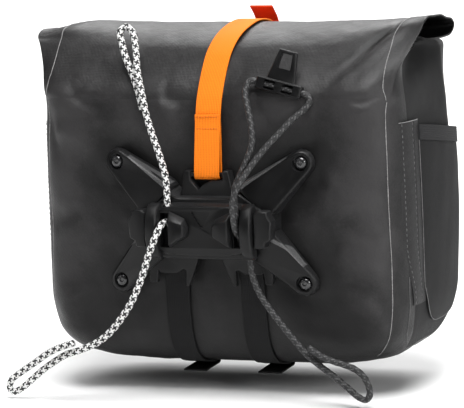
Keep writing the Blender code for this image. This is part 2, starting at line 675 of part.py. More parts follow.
def closure_strap(look):
    """Orange strap: looped on the bridge bar, up the panel and over the roll to the clasp."""
    off = GAP + WEBBING / 2
    ring = BAR_RADIUS + GAP + WEBBING / 2
    lap = off + WEBBING + GAP
    front_layer = [Vector((0, BACK_PANEL_Y - lap, STRAP_LAP_TOP_Z)), Vector((0, BACK_PANEL_Y - lap - 0.3 * MM, 75 * MM)),
                   Vector((0, 29.2 * MM, 64 * MM)), Vector((0, 26.6 * MM, 50 * MM))]
    loop = [Vector((0, BAR_Y - ring * math.cos(a), BAR_Z - ring * math.sin(a)))
            for a in (math.radians(180 * i / 6) for i in range(7))]
    back_layer = [Vector((0, 31.4 * MM, 50 * MM)), Vector((0, 32.3 * MM, 64 * MM))]
    panel = [back_profile(at_share(share), off + 0.9 * MM)
             for share in (0.809, 0.834, 0.867, 0.900, 0.921, 0.942, 0.9585, 0.975, 0.9875)]
    roll = [roll_profile(angle, off + 0.2 * MM) for angle in (172, 160, 146, 128, 108, 90, 72, 52, 34, 20, 8)]
    front = [front_profile(at_share(share), off + 0.6 * MM) for share in (0.975, 0.9585, 0.942, 0.921, 0.902)]
    path = by_bend(front_layer + loop + back_layer + panel + roll + front, 12 * MM, 13.0)
    return ribbon("closure_strap", path, CLOSURE_WIDTH, WEBBING, 0.0, look)


def front_clasp(plastic, webbing, tab_webbing):
    """Plain clasp on the front shoulder, its sewn anchor and the strap's standing end."""
    off = GAP + WEBBING / 2
    low, high = front_profile(at_share(0.840), GAP), front_profile(at_share(0.8945), GAP)
    along = (high - low).normalized()
    out = Vector((0, along.z, -along.y))
    half = CLASP_WIDTH / 2
    rings = []
    for base in (low, high):
        rings.append([Vector((x, 0, 0)) + base + out * t for x, t in
                      ((-half, 0), (half, 0), (half, 5 * MM), (-half, 5 * MM))])
    verts, faces = loft(rings)
    bevel(add_mesh("front_clasp", verts, faces, plastic), 0.8 * MM)
    path = [front_profile(at_share(share), off + 0.1 * MM) for share in (0.643, 0.710, 0.776, 0.830)]
    ribbon("front_anchor", path, LOWER_STRAP_WIDTH, WEBBING, 0.0, webbing)
    tab_off = off + WEBBING + GAP + 0.5 * MM
    root = high + out * (tab_off - GAP) + along * (GAP + 0.2 * MM)
    edge = roll_profile(0, 0.0)
    tab = [root, front_profile(at_share(0.925), tab_off + 1 * MM)]
    tab += [edge + Vector((0, y * MM, z * MM)) for y, z in ((32.5, -22.4), (25, -12), (15, 0.6), (9.5, 10), (-1, 19.6))]
    ribbon("strap_tab", by_bend(tab, 12 * MM), TAB_WIDTH, WEBBING, 0.0, tab_webbing)


def lower_strap(side_name, side, look):
    """Black strap from behind the lug, down the panel and under the bag to a folded end."""
    off = GAP + WEBBING / 2
    start = [Vector((0, LUG_BACK_Y + GAP + WEBBING / 2, z * MM)) for z in (-34.5, -39, -44)]
    panel = [back_profile(at_share(share), off + 0.5 * MM)
             for share in (0.228, 0.174, 0.129, 0.091, 0.066, 0.0456, 0.029, 0.0166, 0.0062)]
    under_z = BAG_BOTTOM_Z - off - 0.6 * MM
    under = [Vector((0, y * MM, under_z - 0.2 * MM)) for y in (76, 82, LOWER_STRAP_END_Y / MM)]
    fold = 1.6 * MM
    turn = [Vector((0, LOWER_STRAP_END_Y + fold * math.sin(a), under_z - fold + fold * math.cos(a)))
            for a in (math.radians(60), math.radians(120))]
    tail = [Vector((0, LOWER_STRAP_END_Y - share * LOWER_STRAP_TAB, under_z - 2 * fold - share * 0.8 * MM))
            for share in (0.1, 0.5, 1.0)]
    path = by_bend(start + panel + under + turn + tail, 12 * MM, 14.0)
    return ribbon("lower_strap_" + side_name, path, LOWER_STRAP_WIDTH, WEBBING, side * LOWER_STRAP_X, look)


def cord(name, route, diameter, look):
    """A round cord through the route's own points."""
    points = by_bend([Vector(p) * MM for p in route], CORD_STEP * diameter, CORD_TURN)
    data = bpy.data.curves.new(name, "CURVE")
    data.dimensions = "3D"
    line = data.splines.new("POLY")
    line.points.add(len(points) - 1)
    for spot, point in zip(line.points, points):
        spot.co = (*point, 1.0)
    data.bevel_depth = diameter / 2
    data.bevel_resolution = 2
    data.use_fill_caps = True
    data.materials.append(look)
    made = bpy.data.objects.new(name, data)
    bpy.context.scene.collection.objects.link(made)
    return made


def cord_hook(look):
    """T-shaped hook that the black loop runs through."""
    half_bar = HOOK_BAR_LENGTH / 2
    half_high = HOOK_BAR_HEIGHT / 2
    half_deep = HOOK_BAR_THICKNESS / 2
    bar = box("cord_hook", (-half_bar, -half_deep, -half_high), (half_bar, half_deep, half_high), look)
    bevel(bar, 1.2 * MM)
    deep = HOOK_HEAD_THICKNESS / 2
    neck = half_high - 2.2 * MM
    top = HOOK_HEAD_TOP
    outline = [(-12 * MM, neck), (-7.4 * MM, top), (7.4 * MM, top), (12 * MM, neck)]
    head = bevel(prism("hook_head", outline, -deep, deep, look), 0.8 * MM)
    boolean(bar, head, "UNION")
    window = [(-5.4 * MM, 14.5 * MM), (-4.2 * MM, top - 3 * MM), (4.2 * MM, top - 3 * MM), (5.4 * MM, 14.5 * MM)]
    boolean(bar, prism("hook_window", window, -8 * MM, 8 * MM, look), "DIFFERENCE")
    bore = rod("hook_bore", HOOK_BORE_RADIUS, HOOK_BAR_LENGTH + 10 * MM, (0, 0, 0), "X", 12, look)
    boolean(bar, bore, "DIFFERENCE")
    for side in (-1, 1):
        middle = side * 7.4 * MM
        low = (middle - 4.4 * MM, -10 * MM, -3.3 * MM)
        boolean(bar, box("hook_light", low, (middle + 4.4 * MM, 0, 3.3 * MM), look), "DIFFERENCE")
    turn = Matrix.Rotation(math.radians(HOOK_ROLL), 4, "Y")
    lean = Matrix.Rotation(math.radians(-HOOK_LEAN), 4, "X")
    place = Matrix.Translation(HOOK_CENTRE) @ turn @ lean
    for item in bpy.data.objects:
        if item.name.startswith(("hook_", "cord_hook")):
            item.matrix_world = place
    return bar


def build():
    clear_scene()
    coated = material("coated_fabric", (0.035, 0.035, 0.037), 0.55)
    pocket_cloth = material("pocket_fabric", (0.022, 0.022, 0.024), 0.8)
    hem_cloth = material("hem_webbing", (0.03, 0.03, 0.032), 0.85)
    tape_cloth = material("welded_tape", (0.055, 0.052, 0.054), 0.6)
    plastic = material("moulded_plastic", (0.018, 0.018, 0.019), 0.45)
    steel = material("black_steel", (0.02, 0.02, 0.022), 0.22, 0.9)
    orange = material("orange_webbing", (0.95, 0.29, 0.02), 0.75)
    red_orange = material("red_orange_webbing", (0.9, 0.13, 0.01), 0.75)
    black_webbing = material("black_webbing", (0.02, 0.02, 0.022), 0.85)
    white_cord = material("reflective_cord", (0.7, 0.7, 0.7), 0.6)
    black_cord = material("black_cord", (0.03, 0.03, 0.032), 0.6)

    bag_body(coated)
    roll_top(coated)
    for side_name, side in (("right", 1), ("left", -1)):
        side_pocket(side_name, side, pocket_cloth, hem_cloth, tape_cloth)
        cord_guide(side_name, side, plastic)
        latch(side_name, side, plastic)
        lower_strap(side_name, side, black_webbing)
    adapter_plate(plastic)
    screws(steel)
    bracket_housing(plastic)
    closure_strap(orange)
    front_clasp(plastic, black_webbing, red_orange)
    cord_hook(plastic)
    cord("white_cord_upper", WHITE_UPPER_ROUTE, WHITE_CORD, white_cord)
    cord("white_cord_lower", WHITE_LOWER_ROUTE, WHITE_CORD, white_cord)
    cord("black_cord_upper", BLACK_UPPER_ROUTE, BLACK_CORD, black_cord)
    cord("black_cord_lower", BLACK_LOWER_ROUTE, BLACK_CORD, black_cord)


build()
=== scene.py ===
"""Looks of the roll-top handlebar bag and its corded bracket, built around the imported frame.

Every shape is a surface worked out with numpy in the part's own frame, in metres: +Z up, +X along the
handlebar to the right, and +Y from the handlebar into the bag.
"""

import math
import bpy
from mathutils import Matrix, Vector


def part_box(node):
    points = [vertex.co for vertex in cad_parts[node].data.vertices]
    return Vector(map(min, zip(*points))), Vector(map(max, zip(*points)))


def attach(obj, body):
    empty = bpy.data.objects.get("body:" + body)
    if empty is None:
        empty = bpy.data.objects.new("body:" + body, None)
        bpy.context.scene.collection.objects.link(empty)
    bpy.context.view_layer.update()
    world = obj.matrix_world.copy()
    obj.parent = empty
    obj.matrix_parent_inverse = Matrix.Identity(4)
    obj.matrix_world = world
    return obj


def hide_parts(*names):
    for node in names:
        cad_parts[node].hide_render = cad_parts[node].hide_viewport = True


bl_info = {
    "name": "Handlebar bag maker",
    "version": (1, 0, 0),
    "blender": (4, 5, 0),
    "location": "3D View > Sidebar > Handlebar Bag",
    "description": "Builds a roll-top handlebar bag with its bracket, straps and cords",
    "category": "Add Mesh",
}

import bmesh
import bpy
import numpy as np
from bpy.props import FloatProperty, FloatVectorProperty, PointerProperty
from mathutils import Matrix, Vector

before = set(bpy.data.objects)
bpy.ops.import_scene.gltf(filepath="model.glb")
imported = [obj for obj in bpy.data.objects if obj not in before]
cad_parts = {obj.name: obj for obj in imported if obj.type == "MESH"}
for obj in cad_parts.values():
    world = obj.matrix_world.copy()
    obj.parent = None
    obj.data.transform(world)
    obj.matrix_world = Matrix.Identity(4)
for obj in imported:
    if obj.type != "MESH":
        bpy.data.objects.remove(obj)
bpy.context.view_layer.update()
ROOT = "root"
MM = 0.001

# The bag's sections, bottom to top, as shares: of its height, of half its width, of its depth to the back
# and to the front face, of its corner radius, and how far the side panel tucks in
SHELL_ROWS = np.array((
    # height, width, back, front, corner, tuck
    (0.000, 0.730, 0.250, 0.780, 0.95, 0.0),
    (0.022, 0.835, 0.140, 0.885, 1.00, 0.0),
    (0.065, 0.925, 0.060, 0.950, 1.00, 0.0),
    (0.130, 0.978, 0.018, 0.985, 1.00, 0.0),
    (0.230, 1.000, 0.000, 1.000, 1.00, 0.0),
    (0.480, 1.000, 0.000, 1.020, 1.00, 0.0),
    (0.734, 0.995, 0.000, 1.000, 1.00, 0.0),
    (0.834, 0.992, 0.010, 0.980, 0.95, 0.1),
    (0.900, 0.994, 0.038, 0.955, 0.80, 0.35),
    (0.942, 0.996, 0.092, 0.920, 0.62, 0.65),
    (0.975, 0.998, 0.185, 0.870, 0.45, 0.90),
    (0.992, 1.000, 0.265, 0.810, 0.35, 1.00),
    (1.000, 1.000, 0.330, 0.756, 0.30, 1.00),
))
# Where the outline's back, corners, side and front begin and end, as shares of half the way round
BACK_END, CORNER_END, SIDE_END, FRONT_START = 0.30, 0.42, 0.58, 0.70

# The side seams' place round the bag, and where the rolled cloth starts: its reach round the bag each
# side, and its share of the height
SEAM_TURN = 0.357
ROLL_TURN, ROLL_START = 0.365, 0.85

# Side pockets in metres: their back and front, and the height of the rim at each
POCKET_BACK, POCKET_FRONT = 0.0825, 0.178
RIM_BACK, RIM_FRONT = 0.070, 0.056

# Screws from the middle of the plate, in millimetres
SCREW_X, SCREW_Z = 76.0, 46.5

# The camera: degrees to the right, up and rolled, its place, and its focal length in pixels of the frame
CAMERA_TURN, CAMERA_LIFT, CAMERA_ROLL = 22.0, 8.0, 2.4
CAMERA_EYE = (0.9805, -2.3527, 0.3752)
FOCAL_PIXELS, FRAME_PIXELS = 3380.0, 464.0
FLOOR_Z = -0.138

# The rolled fabric's path in millimetres (depth, height), at the middle and at the ends of the roll, and
# how far to each side it reaches, from the back of the shoulder over the top and round into the roll
ROLL_MIDDLE = np.array((
    (47.4, 108.0), (52.0, 116.5), (61.0, 125.8), (72.5, 133.0), (86.0, 138.4), (101.0, 142.0),
    (121.0, 144.8), (138.0, 144.2), (150.0, 141.4), (155.5, 136.2), (152.0, 130.8), (140.0, 128.6),
    (110.0, 127.8), (92.0, 128.8), (84.5, 132.2), (91.0, 136.0), (108.0, 138.8), (127.0, 140.2),
    (143.0, 138.6), (148.0, 135.4), (140.0, 132.6), (116.0, 131.9), (101.0, 132.8), (97.0, 134.6),
    (106.0, 135.8), (124.0, 136.6), (138.0, 135.8),
))
ROLL_END = np.array((
    (47.0, 104.5), (53.5, 114.0), (64.0, 127.0), (76.5, 141.0), (83.0, 149.4), (99.0, 152.4),
    (120.0, 150.6), (138.0, 147.8), (150.0, 144.4), (156.0, 139.4), (152.5, 134.6), (141.0, 131.8),
    (113.0, 132.0), (95.0, 134.2), (86.5, 138.8), (92.0, 143.6), (108.0, 146.6), (127.0, 145.6),
    (143.5, 142.6), (149.0, 139.0), (141.0, 135.6), (116.0, 135.6), (102.0, 137.6), (98.0, 139.8),
    (107.0, 142.0), (124.0, 141.6), (137.0, 140.0),
))
ROLL_REACH = np.array((
    141.0, 146.5, 152.5, 158.0, 160.5, 161.0, 161.0, 161.0, 161.0, 160.5, 160.0, 159.5,
    158.0, 154.0, 148.0, 146.0, 145.0, 144.0, 142.0, 139.0, 136.0, 134.0, 134.0, 134.0,
    134.0, 134.0, 134.0,
))

# Creases pressed into the back panel: ends (x, z) in millimetres, half width, depth, plus is a ridge
BACK_CREASES = (
    (143.0, 103.0, 118.0, 90.0, 4.5, -2.4),
    (146.0, 98.0, 122.0, 84.0, 5.5, 1.8),
    (104.0, -18.0, 130.0, -44.0, 6.0, 2.2),
    (112.0, -42.0, 136.0, -62.0, 5.0, -2.0),
    (108.0, 6.0, 134.0, -14.0, 7.0, -1.8),
    (118.0, -58.0, 134.0, -84.0, 5.0, 2.0),
    (96.0, 40.0, 118.0, 10.0, 8.0, 1.8),
    (-98.0, 52.0, -126.0, 74.0, 7.0, 1.8),
    (-104.0, -52.0, -132.0, -74.0, 7.0, 2.0),
    (-88.0, 86.0, -134.0, 108.0, 6.0, -1.8),
    (-112.0, 10.0, -136.0, -10.0, 8.0, -1.8),
    (-128.0, 40.0, -134.0, 84.0, 4.0, -1.4),
    (60.0, -84.0, 104.0, -96.0, 8.0, 1.6),
    (-26.0, 84.0, -44.0, 92.0, 5.0, 1.2),
    (-22.0, 88.0, -40.0, 100.0, 5.0, -1.2),
    (24.0, 80.0, 44.0, 88.0, 5.0, -1.2),
    (26.0, 74.0, 46.0, 80.0, 5.0, 1.0),
    (-60.0, 70.0, -78.0, 84.0, 9.0, 1.2),
)

# The same on the rolled cloth, from the shoulder up
ROLL_CREASES = (
    (90.0, 112.0, 143.0, 151.0, 2.6, -1.9),
    (95.0, 108.0, 147.0, 146.0, 3.6, 1.5),
    (66.0, 118.0, 118.0, 139.0, 9.0, 0.8),
    (-70.0, 132.0, -96.0, 124.0, 4.0, 0.7),
    (-76.0, 128.0, -98.0, 119.0, 4.0, -0.7),
    (-60.0, 139.0, -134.0, 146.0, 8.0, -0.6),
)

# Cord routes in millimetres, as on the frame
WHITE_UPPER_ROUTE = (
    (-29.0, 13.3, 11.0), (-29.0, 13.3, 18.0), (-29.5, 13.3, 36.5), (-34.0, 14.0, 53.5),
    (-40.5, 17.0, 69.0), (-46.5, 21.0, 83.5), (-51.5, 26.0, 99.0), (-57.5, 33.0, 116.5),
    (-61.5, 41.0, 131.5), (-66.0, 48.0, 143.5), (-72.5, 51.0, 149.0), (-77.5, 49.0, 145.0),
    (-75.0, 46.0, 136.0), (-70.5, 42.5, 124.5), (-64.0, 38.5, 113.0), (-57.5, 33.5, 99.0),
    (-53.0, 29.0, 87.0),
)
WHITE_LOWER_ROUTE = (
    (-30.4, 12.6, 2.0), (-30.4, 5.5, 1.6), (-30.6, -0.6, -0.8), (-32.2, -4.2, -6.0),
    (-35.2, -5.0, -13.0), (-39.2, -5.0, -22.5), (-43.5, -5.0, -34.5), (-49.0, -5.0, -47.0),
    (-56.0, -5.0, -60.0), (-65.5, -5.0, -73.0), (-76.0, -5.0, -84.0), (-88.0, -4.0, -92.0),
    (-101.5, -3.0, -97.5), (-113.5, -2.0, -101.5), (-122.5, -2.0, -106.5), (-133.0, -2.0, -113.5),
    (-142.5, -2.0, -121.0), (-152.5, -2.0, -129.0), (-160.0, -2.0, -132.5), (-163.5, -2.0, -129.0),
    (-161.0, -2.5, -122.5), (-152.0, -3.0, -116.0), (-139.5, -4.0, -108.0), (-128.0, -5.5, -100.5),
    (-116.5, -7.0, -95.0), (-104.0, -8.0, -91.0),
)
BLACK_UPPER_ROUTE = (
    (30.0, 12.8, 3.0), (30.1, 8.8, 3.0), (30.5, 5.0, 7.0), (30.6, 4.2, 14.0), (30.6, 3.8, 20.0),
    (30.5, 4.5, 29.0), (34.5, 6.0, 38.5), (40.0, 9.0, 51.5), (43.5, 12.0, 63.0),
    (41.5, 17.0, 77.0), (36.5, 23.5, 90.0), (33.0, 29.0, 100.5), (34.6, 33.2, 107.8),
    (39.2, 34.0, 108.5), (50.0, 34.0, 105.75), (59.0, 34.0, 103.5), (68.0, 34.0, 101.25),
    (80.0, 34.0, 98.2), (83.6, 33.0, 93.2), (79.4, 30.0, 86.8), (71.5, 25.5, 80.0),
    (64.0, 20.5, 71.5), (55.5, 14.5, 62.0), (48.0, 9.5, 52.5), (40.8, 3.8, 41.5),
    (35.0, -1.0, 31.0), (31.2, -2.2, 20.0), (30.6, -1.0, 9.0), (30.4, 2.5, -0.5),
    (30.2, 7.0, -5.5), (30.0, 12.8, -8.5),
)
BLACK_LOWER_ROUTE = (
    (38.0, 13.3, -19.0), (38.0, 13.3, -27.0), (39.0, 13.0, -38.0), (44.5, 12.0, -51.5),
    (53.5, 11.0, -64.5), (64.0, 10.0, -77.0), (74.5, 9.0, -89.0), (84.5, 8.0, -99.0),
    (94.0, 8.0, -106.5), (104.5, 8.0, -114.0), (114.5, 8.0, -122.0), (123.0, 8.0, -128.8),
    (129.5, 8.0, -130.8), (132.5, 8.0, -125.0), (129.5, 8.0, -115.5), (123.0, 7.5, -108.5),
    (114.0, 7.0, -104.5), (104.0, 6.0, -101.5), (95.5, 4.5, -97.5), (86.0, 3.0, -91.0),
)


def measure(name, description, default):
    return FloatProperty(name=name, description=description, default=default, unit="LENGTH")


def tint(name, description, default):
    return FloatVectorProperty(name=name, description=description, default=default, subtype="COLOR", size=3,
                               min=0, max=1)


class BagSizes(bpy.types.PropertyGroup):
    """Sizes of the welded bag."""
    width: measure("Width", "Side to side", 0.304)
    depth: measure("Depth", "Back panel to front", 0.160)
    height: measure("Height", "Below the roll", 0.241)
    bottom: measure("Bottom", "Height of the bottom", -0.117)
    back: measure("Back panel", "Its distance from the bar", 0.034)
    corner: measure("Corner radius", "Of the upright corners", 0.040)
    tuck: measure("Side tuck", "How far the side folds in under the roll", 0.017)
    cloth: measure("Cloth", "Thickness of the coated cloth", 0.0012)
    roll_half: measure("Roll half length", "Middle to end of the roll", 0.161)
    pocket_bulge: measure("Pocket bulge", "How far the pockets stand out", 0.007)


class StrapSizes(bpy.types.PropertyGroup):
    """Sizes of the webbing."""
    closure_width: measure("Closure width", "Orange strap", 0.021)
    tab_width: measure("Tab width", "Strap's loose end", 0.0195)
    lower_width: measure("Lower width", "Black straps", 0.020)
    lower_place: measure("Lower place", "Black straps from the middle", 0.0315)
    thickness: measure("Thickness", "Of all webbing", 0.0015)


class CordSizes(bpy.types.PropertyGroup):
    """Sizes of the cords."""
    white: measure("White cord", "Diameter", 0.0054)
    black: measure("Black cord", "Diameter", 0.0050)


class Finishes(bpy.types.PropertyGroup):
    """Colours of the materials."""
    coated: tint("Coated cloth", "Bag and roll", (0.0050, 0.0049, 0.0050))
    pocket: tint("Pocket cloth", "Side pockets", (0.0058, 0.0058, 0.0060))
    plastic: tint("Moulded plastic", "Plate and bracket", (0.0026, 0.0026, 0.0028))
    orange: tint("Orange webbing", "Closure strap", (0.92, 0.215, 0.006))
    # The tab is the strap's own webbing; its redder, darker colour is painted shade
    red_orange: tint("Tab webbing", "Strap's loose end", (0.90, 0.070, 0.008))
    white: tint("Cord white", "Light yarn", (0.78, 0.78, 0.77))


# Curves and tables

def smooth_rows(table, share):
    """Columns of a table read at any share: a cubic between rows whose slopes never overshoot."""
    x, y = table[:, 0], table[:, 1:]
    step = np.diff(x)[:, None]
    rise = np.diff(y, axis=0) / step
    slope = np.zeros_like(y)
    same = rise[1:] * rise[:-1] > 0
    mean = np.where(same, 2 * rise[1:] * rise[:-1] / np.where(same, rise[1:] + rise[:-1], 1), 0)
    slope[1:-1] = mean
    slope[0], slope[-1] = rise[0], rise[-1]
    share = np.clip(np.asarray(share, float), x[0], x[-1])
    low = np.clip(np.searchsorted(x, share, side="right") - 1, 0, len(x) - 2)
    gap = step[low]
    t = ((share - x[low])[..., None]) / gap
    return ((1 + 2 * t) * (1 - t) ** 2 * y[low] + t * (1 - t) ** 2 * gap * slope[low]
            + t * t * (3 - 2 * t) * y[low + 1] + t * t * (t - 1) * gap * slope[low + 1])


def smooth_line(points, share):
    """A line through the points read at shares 0 to 1, by Catmull-Rom's cubic."""
    p = np.asarray(points, float)
    p = np.concatenate([2 * p[:1] - p[1:2], p, 2 * p[-1:] - p[-2:-1]])
    place = np.clip(np.asarray(share, float), 0, 1) * (len(p) - 3)
    low = np.minimum(place.astype(int), len(p) - 4)
    t = (place - low).reshape(place.shape + (1,) * (p.ndim - 1))
    a, b, c, d = p[low], p[low + 1], p[low + 2], p[low + 3]
    square, cube = 2 * a - 5 * b + 4 * c - d, 3 * b - a - 3 * c + d
    return 0.5 * (2 * b + (c - a) * t + square * t ** 2 + cube * t ** 3)


def even_line(points, count):
    """The smooth line through the points at evenly spaced places along its length."""
    dense = smooth_line(points, np.linspace(0, 1, 60 * len(points)))
    far = np.concatenate([[0], np.cumsum(np.linalg.norm(np.diff(dense, axis=0), axis=1))])
    want = np.linspace(0, far[-1], count)
    return np.stack([np.interp(want, far, dense[:, k]) for k in range(dense.shape[1])], axis=1)


def length_of(points):
    return float(np.linalg.norm(np.diff(points, axis=0), axis=1).sum())


def along(points):
    """Distance from the start at each point."""
    return np.concatenate([[0], np.cumsum(np.linalg.norm(np.diff(points, axis=0), axis=1))])


def unit(v):
    return v / np.maximum(np.linalg.norm(v, axis=-1, keepdims=True), 1e-12)


def ease(low, high, value):
    """0 below low, 1 above high, smooth between."""
    t = np.clip((value - low) / (high - low), 0, 1)
    return t * t * (3 - 2 * t)


def waves(x, y, seed, count, longest, shortest):
    """Soft unevenness: a sum of sine waves in random directions, between -1 and 1."""
    rng = np.random.default_rng(seed)
    size = np.geomspace(longest, shortest, count)
    turn = rng.uniform(0, 2 * np.pi, count)
    phase = rng.uniform(0, 2 * np.pi, count)
    total = 0
    for k in range(count):
        total = total + np.sin(2 * np.pi * (x * np.cos(turn[k]) + y * np.sin(turn[k])) / size[k] + phase[k])
    return total / count


# Meshes from grids

def new_object(name, verts, faces, look, uv=None):
    data = bpy.data.meshes.new(name)
    data.from_pydata(verts.tolist(), [], faces.tolist() if hasattr(faces, "tolist") else faces)
    if uv is not None:
        layer = data.uv_layers.new(name="cloth")
        corner = np.zeros(len(data.loops), int)
        data.loops.foreach_get("vertex_index", corner)
        layer.data.foreach_set("uv", np.asarray(uv, np.float32)[corner].ravel())
    data.materials.append(look)
    data.shade_smooth()
    made = bpy.data.objects.new(name, data)
    bpy.context.scene.collection.objects.link(made)
    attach(made, ROOT)
    return made


def grid_faces(rows, columns, wrap_rows=False, wrap_columns=False, start=0):
    """Four-sided faces over a grid of vertices numbered row by row."""
    i = np.arange(rows if wrap_rows else rows - 1)
    j = np.arange(columns if wrap_columns else columns - 1)
    a, b = np.meshgrid(i, j, indexing="ij")
    a, b = a.ravel(), b.ravel()
    up, across = (a + 1) % rows, (b + 1) % columns
    here, above = a * columns, up * columns
    return np.stack([here + b, here + across, above + across, above + b], 1) + start


def tube_mesh(name, rings, look, uv=None, caps=True):
    """A closed body from an array of rings, each a closed loop, with its ends capped."""
    rows, columns = rings.shape[:2]
    verts = rings.reshape(-1, 3)
    faces = grid_faces(rows, columns, wrap_columns=True).tolist()
    if caps:
        faces.append(list(range(columns))[::-1])
        faces.append(list(range((rows - 1) * columns, rows * columns)))
    made = new_object(name, verts, faces, look, None if uv is None else uv.reshape(-1, 2))
    outward(made)
    return made


def slab_mesh(name, outer, inner, look, uv):
    """A closed sheet between an outer and an inner grid of the same size."""
    rows, columns = outer.shape[:2]
    count = rows * columns
    verts = np.concatenate([outer.reshape(-1, 3), inner.reshape(-1, 3)])
    front = grid_faces(rows, columns)
    back = grid_faces(rows, columns, start=count)[:, ::-1]
    index = np.arange(count).reshape(rows, columns)
    rim = np.concatenate([index[0, :-1], index[:-1, -1], index[-1, :0:-1], index[:0:-1, 0]])
    after = np.roll(rim, -1)
    wall = np.stack([after, rim, rim + count, after + count], 1)
    both = np.concatenate([uv.reshape(-1, 2)] * 2)
    made = new_object(name, verts, np.concatenate([front, back, wall]), look, both)
    outward(made)
    return made


def outward(made):
    """Turns every face of a closed mesh out, by the sign of its volume."""
    data = made.data
    count = len(data.polygons)
    corners = np.zeros(len(data.loops), int)
    data.loops.foreach_get("vertex_index", corners)
    start, total = np.zeros(count, int), np.zeros(count, int)
    data.polygons.foreach_get("loop_start", start)
    data.polygons.foreach_get("loop_total", total)
    co = np.zeros(len(data.vertices) * 3)
    data.vertices.foreach_get("co", co)
    co = co.reshape(-1, 3)
    co -= co.mean(0)
    quads = total == 4
    a, b, c, d = (co[corners[start[quads] + k]] for k in range(4))
    volume = (np.einsum("ij,ij->i", a, np.cross(b, c)) + np.einsum("ij,ij->i", a, np.cross(c, d))).sum()
    if volume < 0:
        data.flip_normals()


def sharpen(made, degrees=35.0):
    made.data.set_sharp_from_angle(angle=math.radians(degrees))
    return made


def bevelled(made, width):
    """Rounds the sharp edges of a moulding."""
    mod = made.modifiers.new("Bevel", "BEVEL")
    mod.width = width
    mod.segments = 2
    mod.limit_method = "ANGLE"
    mod.angle_limit = math.radians(35.0)
    mod.harden_normals = True


# The bag's own surface

def sizes():
    return bpy.context.scene.bag_sizes


def segment_field(x, z, crease):
    """How strongly a crease presses at a place: a bell across it that fades at its ends."""
    x0, z0, x1, z1, width, depth = crease
    dx, dz = x1 - x0, z1 - z0
    span = math.hypot(dx, dz)
    share = ((x - x0) * dx + (z - z0) * dz) / span ** 2
    off = ((x - x0) * dz - (z - z0) * dx) / span
    bow = 2.2 * np.sin(share * 5.1 + x0)
    fade = ease(-0.15, 0.2, share) * (1 - ease(0.8, 1.15, share))
    return depth * np.exp(-((off + bow) / width) ** 2) * fade


def shell_base(turn, share):
    """The bag's outline: turn is 0 at the middle of the back, 1 (or -1) at the middle of the front."""
    bag = sizes()
    width, back, front, corner, tuck = np.moveaxis(smooth_rows(SHELL_ROWS, share), -1, 0)
    half = width * bag.width / 2
    y_back, y_front = bag.back + back * bag.depth, bag.back + front * bag.depth
    radius = corner * bag.corner
    t = np.abs(turn)
    first = np.clip((t - BACK_END) / (CORNER_END - BACK_END), 0, 1) * np.pi / 2
    second = np.clip((t - SIDE_END) / (FRONT_START - SIDE_END), 0, 1) * np.pi / 2
    x = (half - radius) * np.clip(t / BACK_END, 0, 1) + radius * np.sin(first)
    on_front = np.clip((t - FRONT_START) / (1 - FRONT_START), 0, 1)
    x = x - radius * (1 - np.cos(second)) - (half - radius) * on_front
    side = np.clip((t - CORNER_END) / (SIDE_END - CORNER_END), 0, 1)
    straight = side * (y_front - y_back - 2 * radius)
    y = y_back + radius * (1 - np.cos(first)) + straight + radius * np.sin(second)
    inside = np.clip((y - y_back) / (y_front - y_back), 0, 1)
    pinch = np.sin(np.pi * np.clip((inside - 0.06) / 0.88, 0, 1)) ** 0.7
    on_side = ease(BACK_END + 0.02, CORNER_END, t) * (1 - ease(SIDE_END, FRONT_START - 0.02, t))
    x = x - tuck * bag.tuck * pinch * on_side
    z = bag.bottom + share * bag.height + 0.006 * (x / bag.roll_half) ** 2 * ease(0.8, 1.0, share)
    return np.stack([np.where(turn < 0, -x, x), y, z], -1)


def shell_normal(turn, share, step=0.0015):
    """Outward direction of the plain outline, from the slopes round and up it."""
    low, high = np.clip(share - step, 0, 1), np.clip(share + step, 0, 1)
    round_it = shell_base(turn + step, share) - shell_base(turn - step, share)
    up_it = shell_base(turn, high) - shell_base(turn, low)
    return unit(np.cross(round_it, up_it))


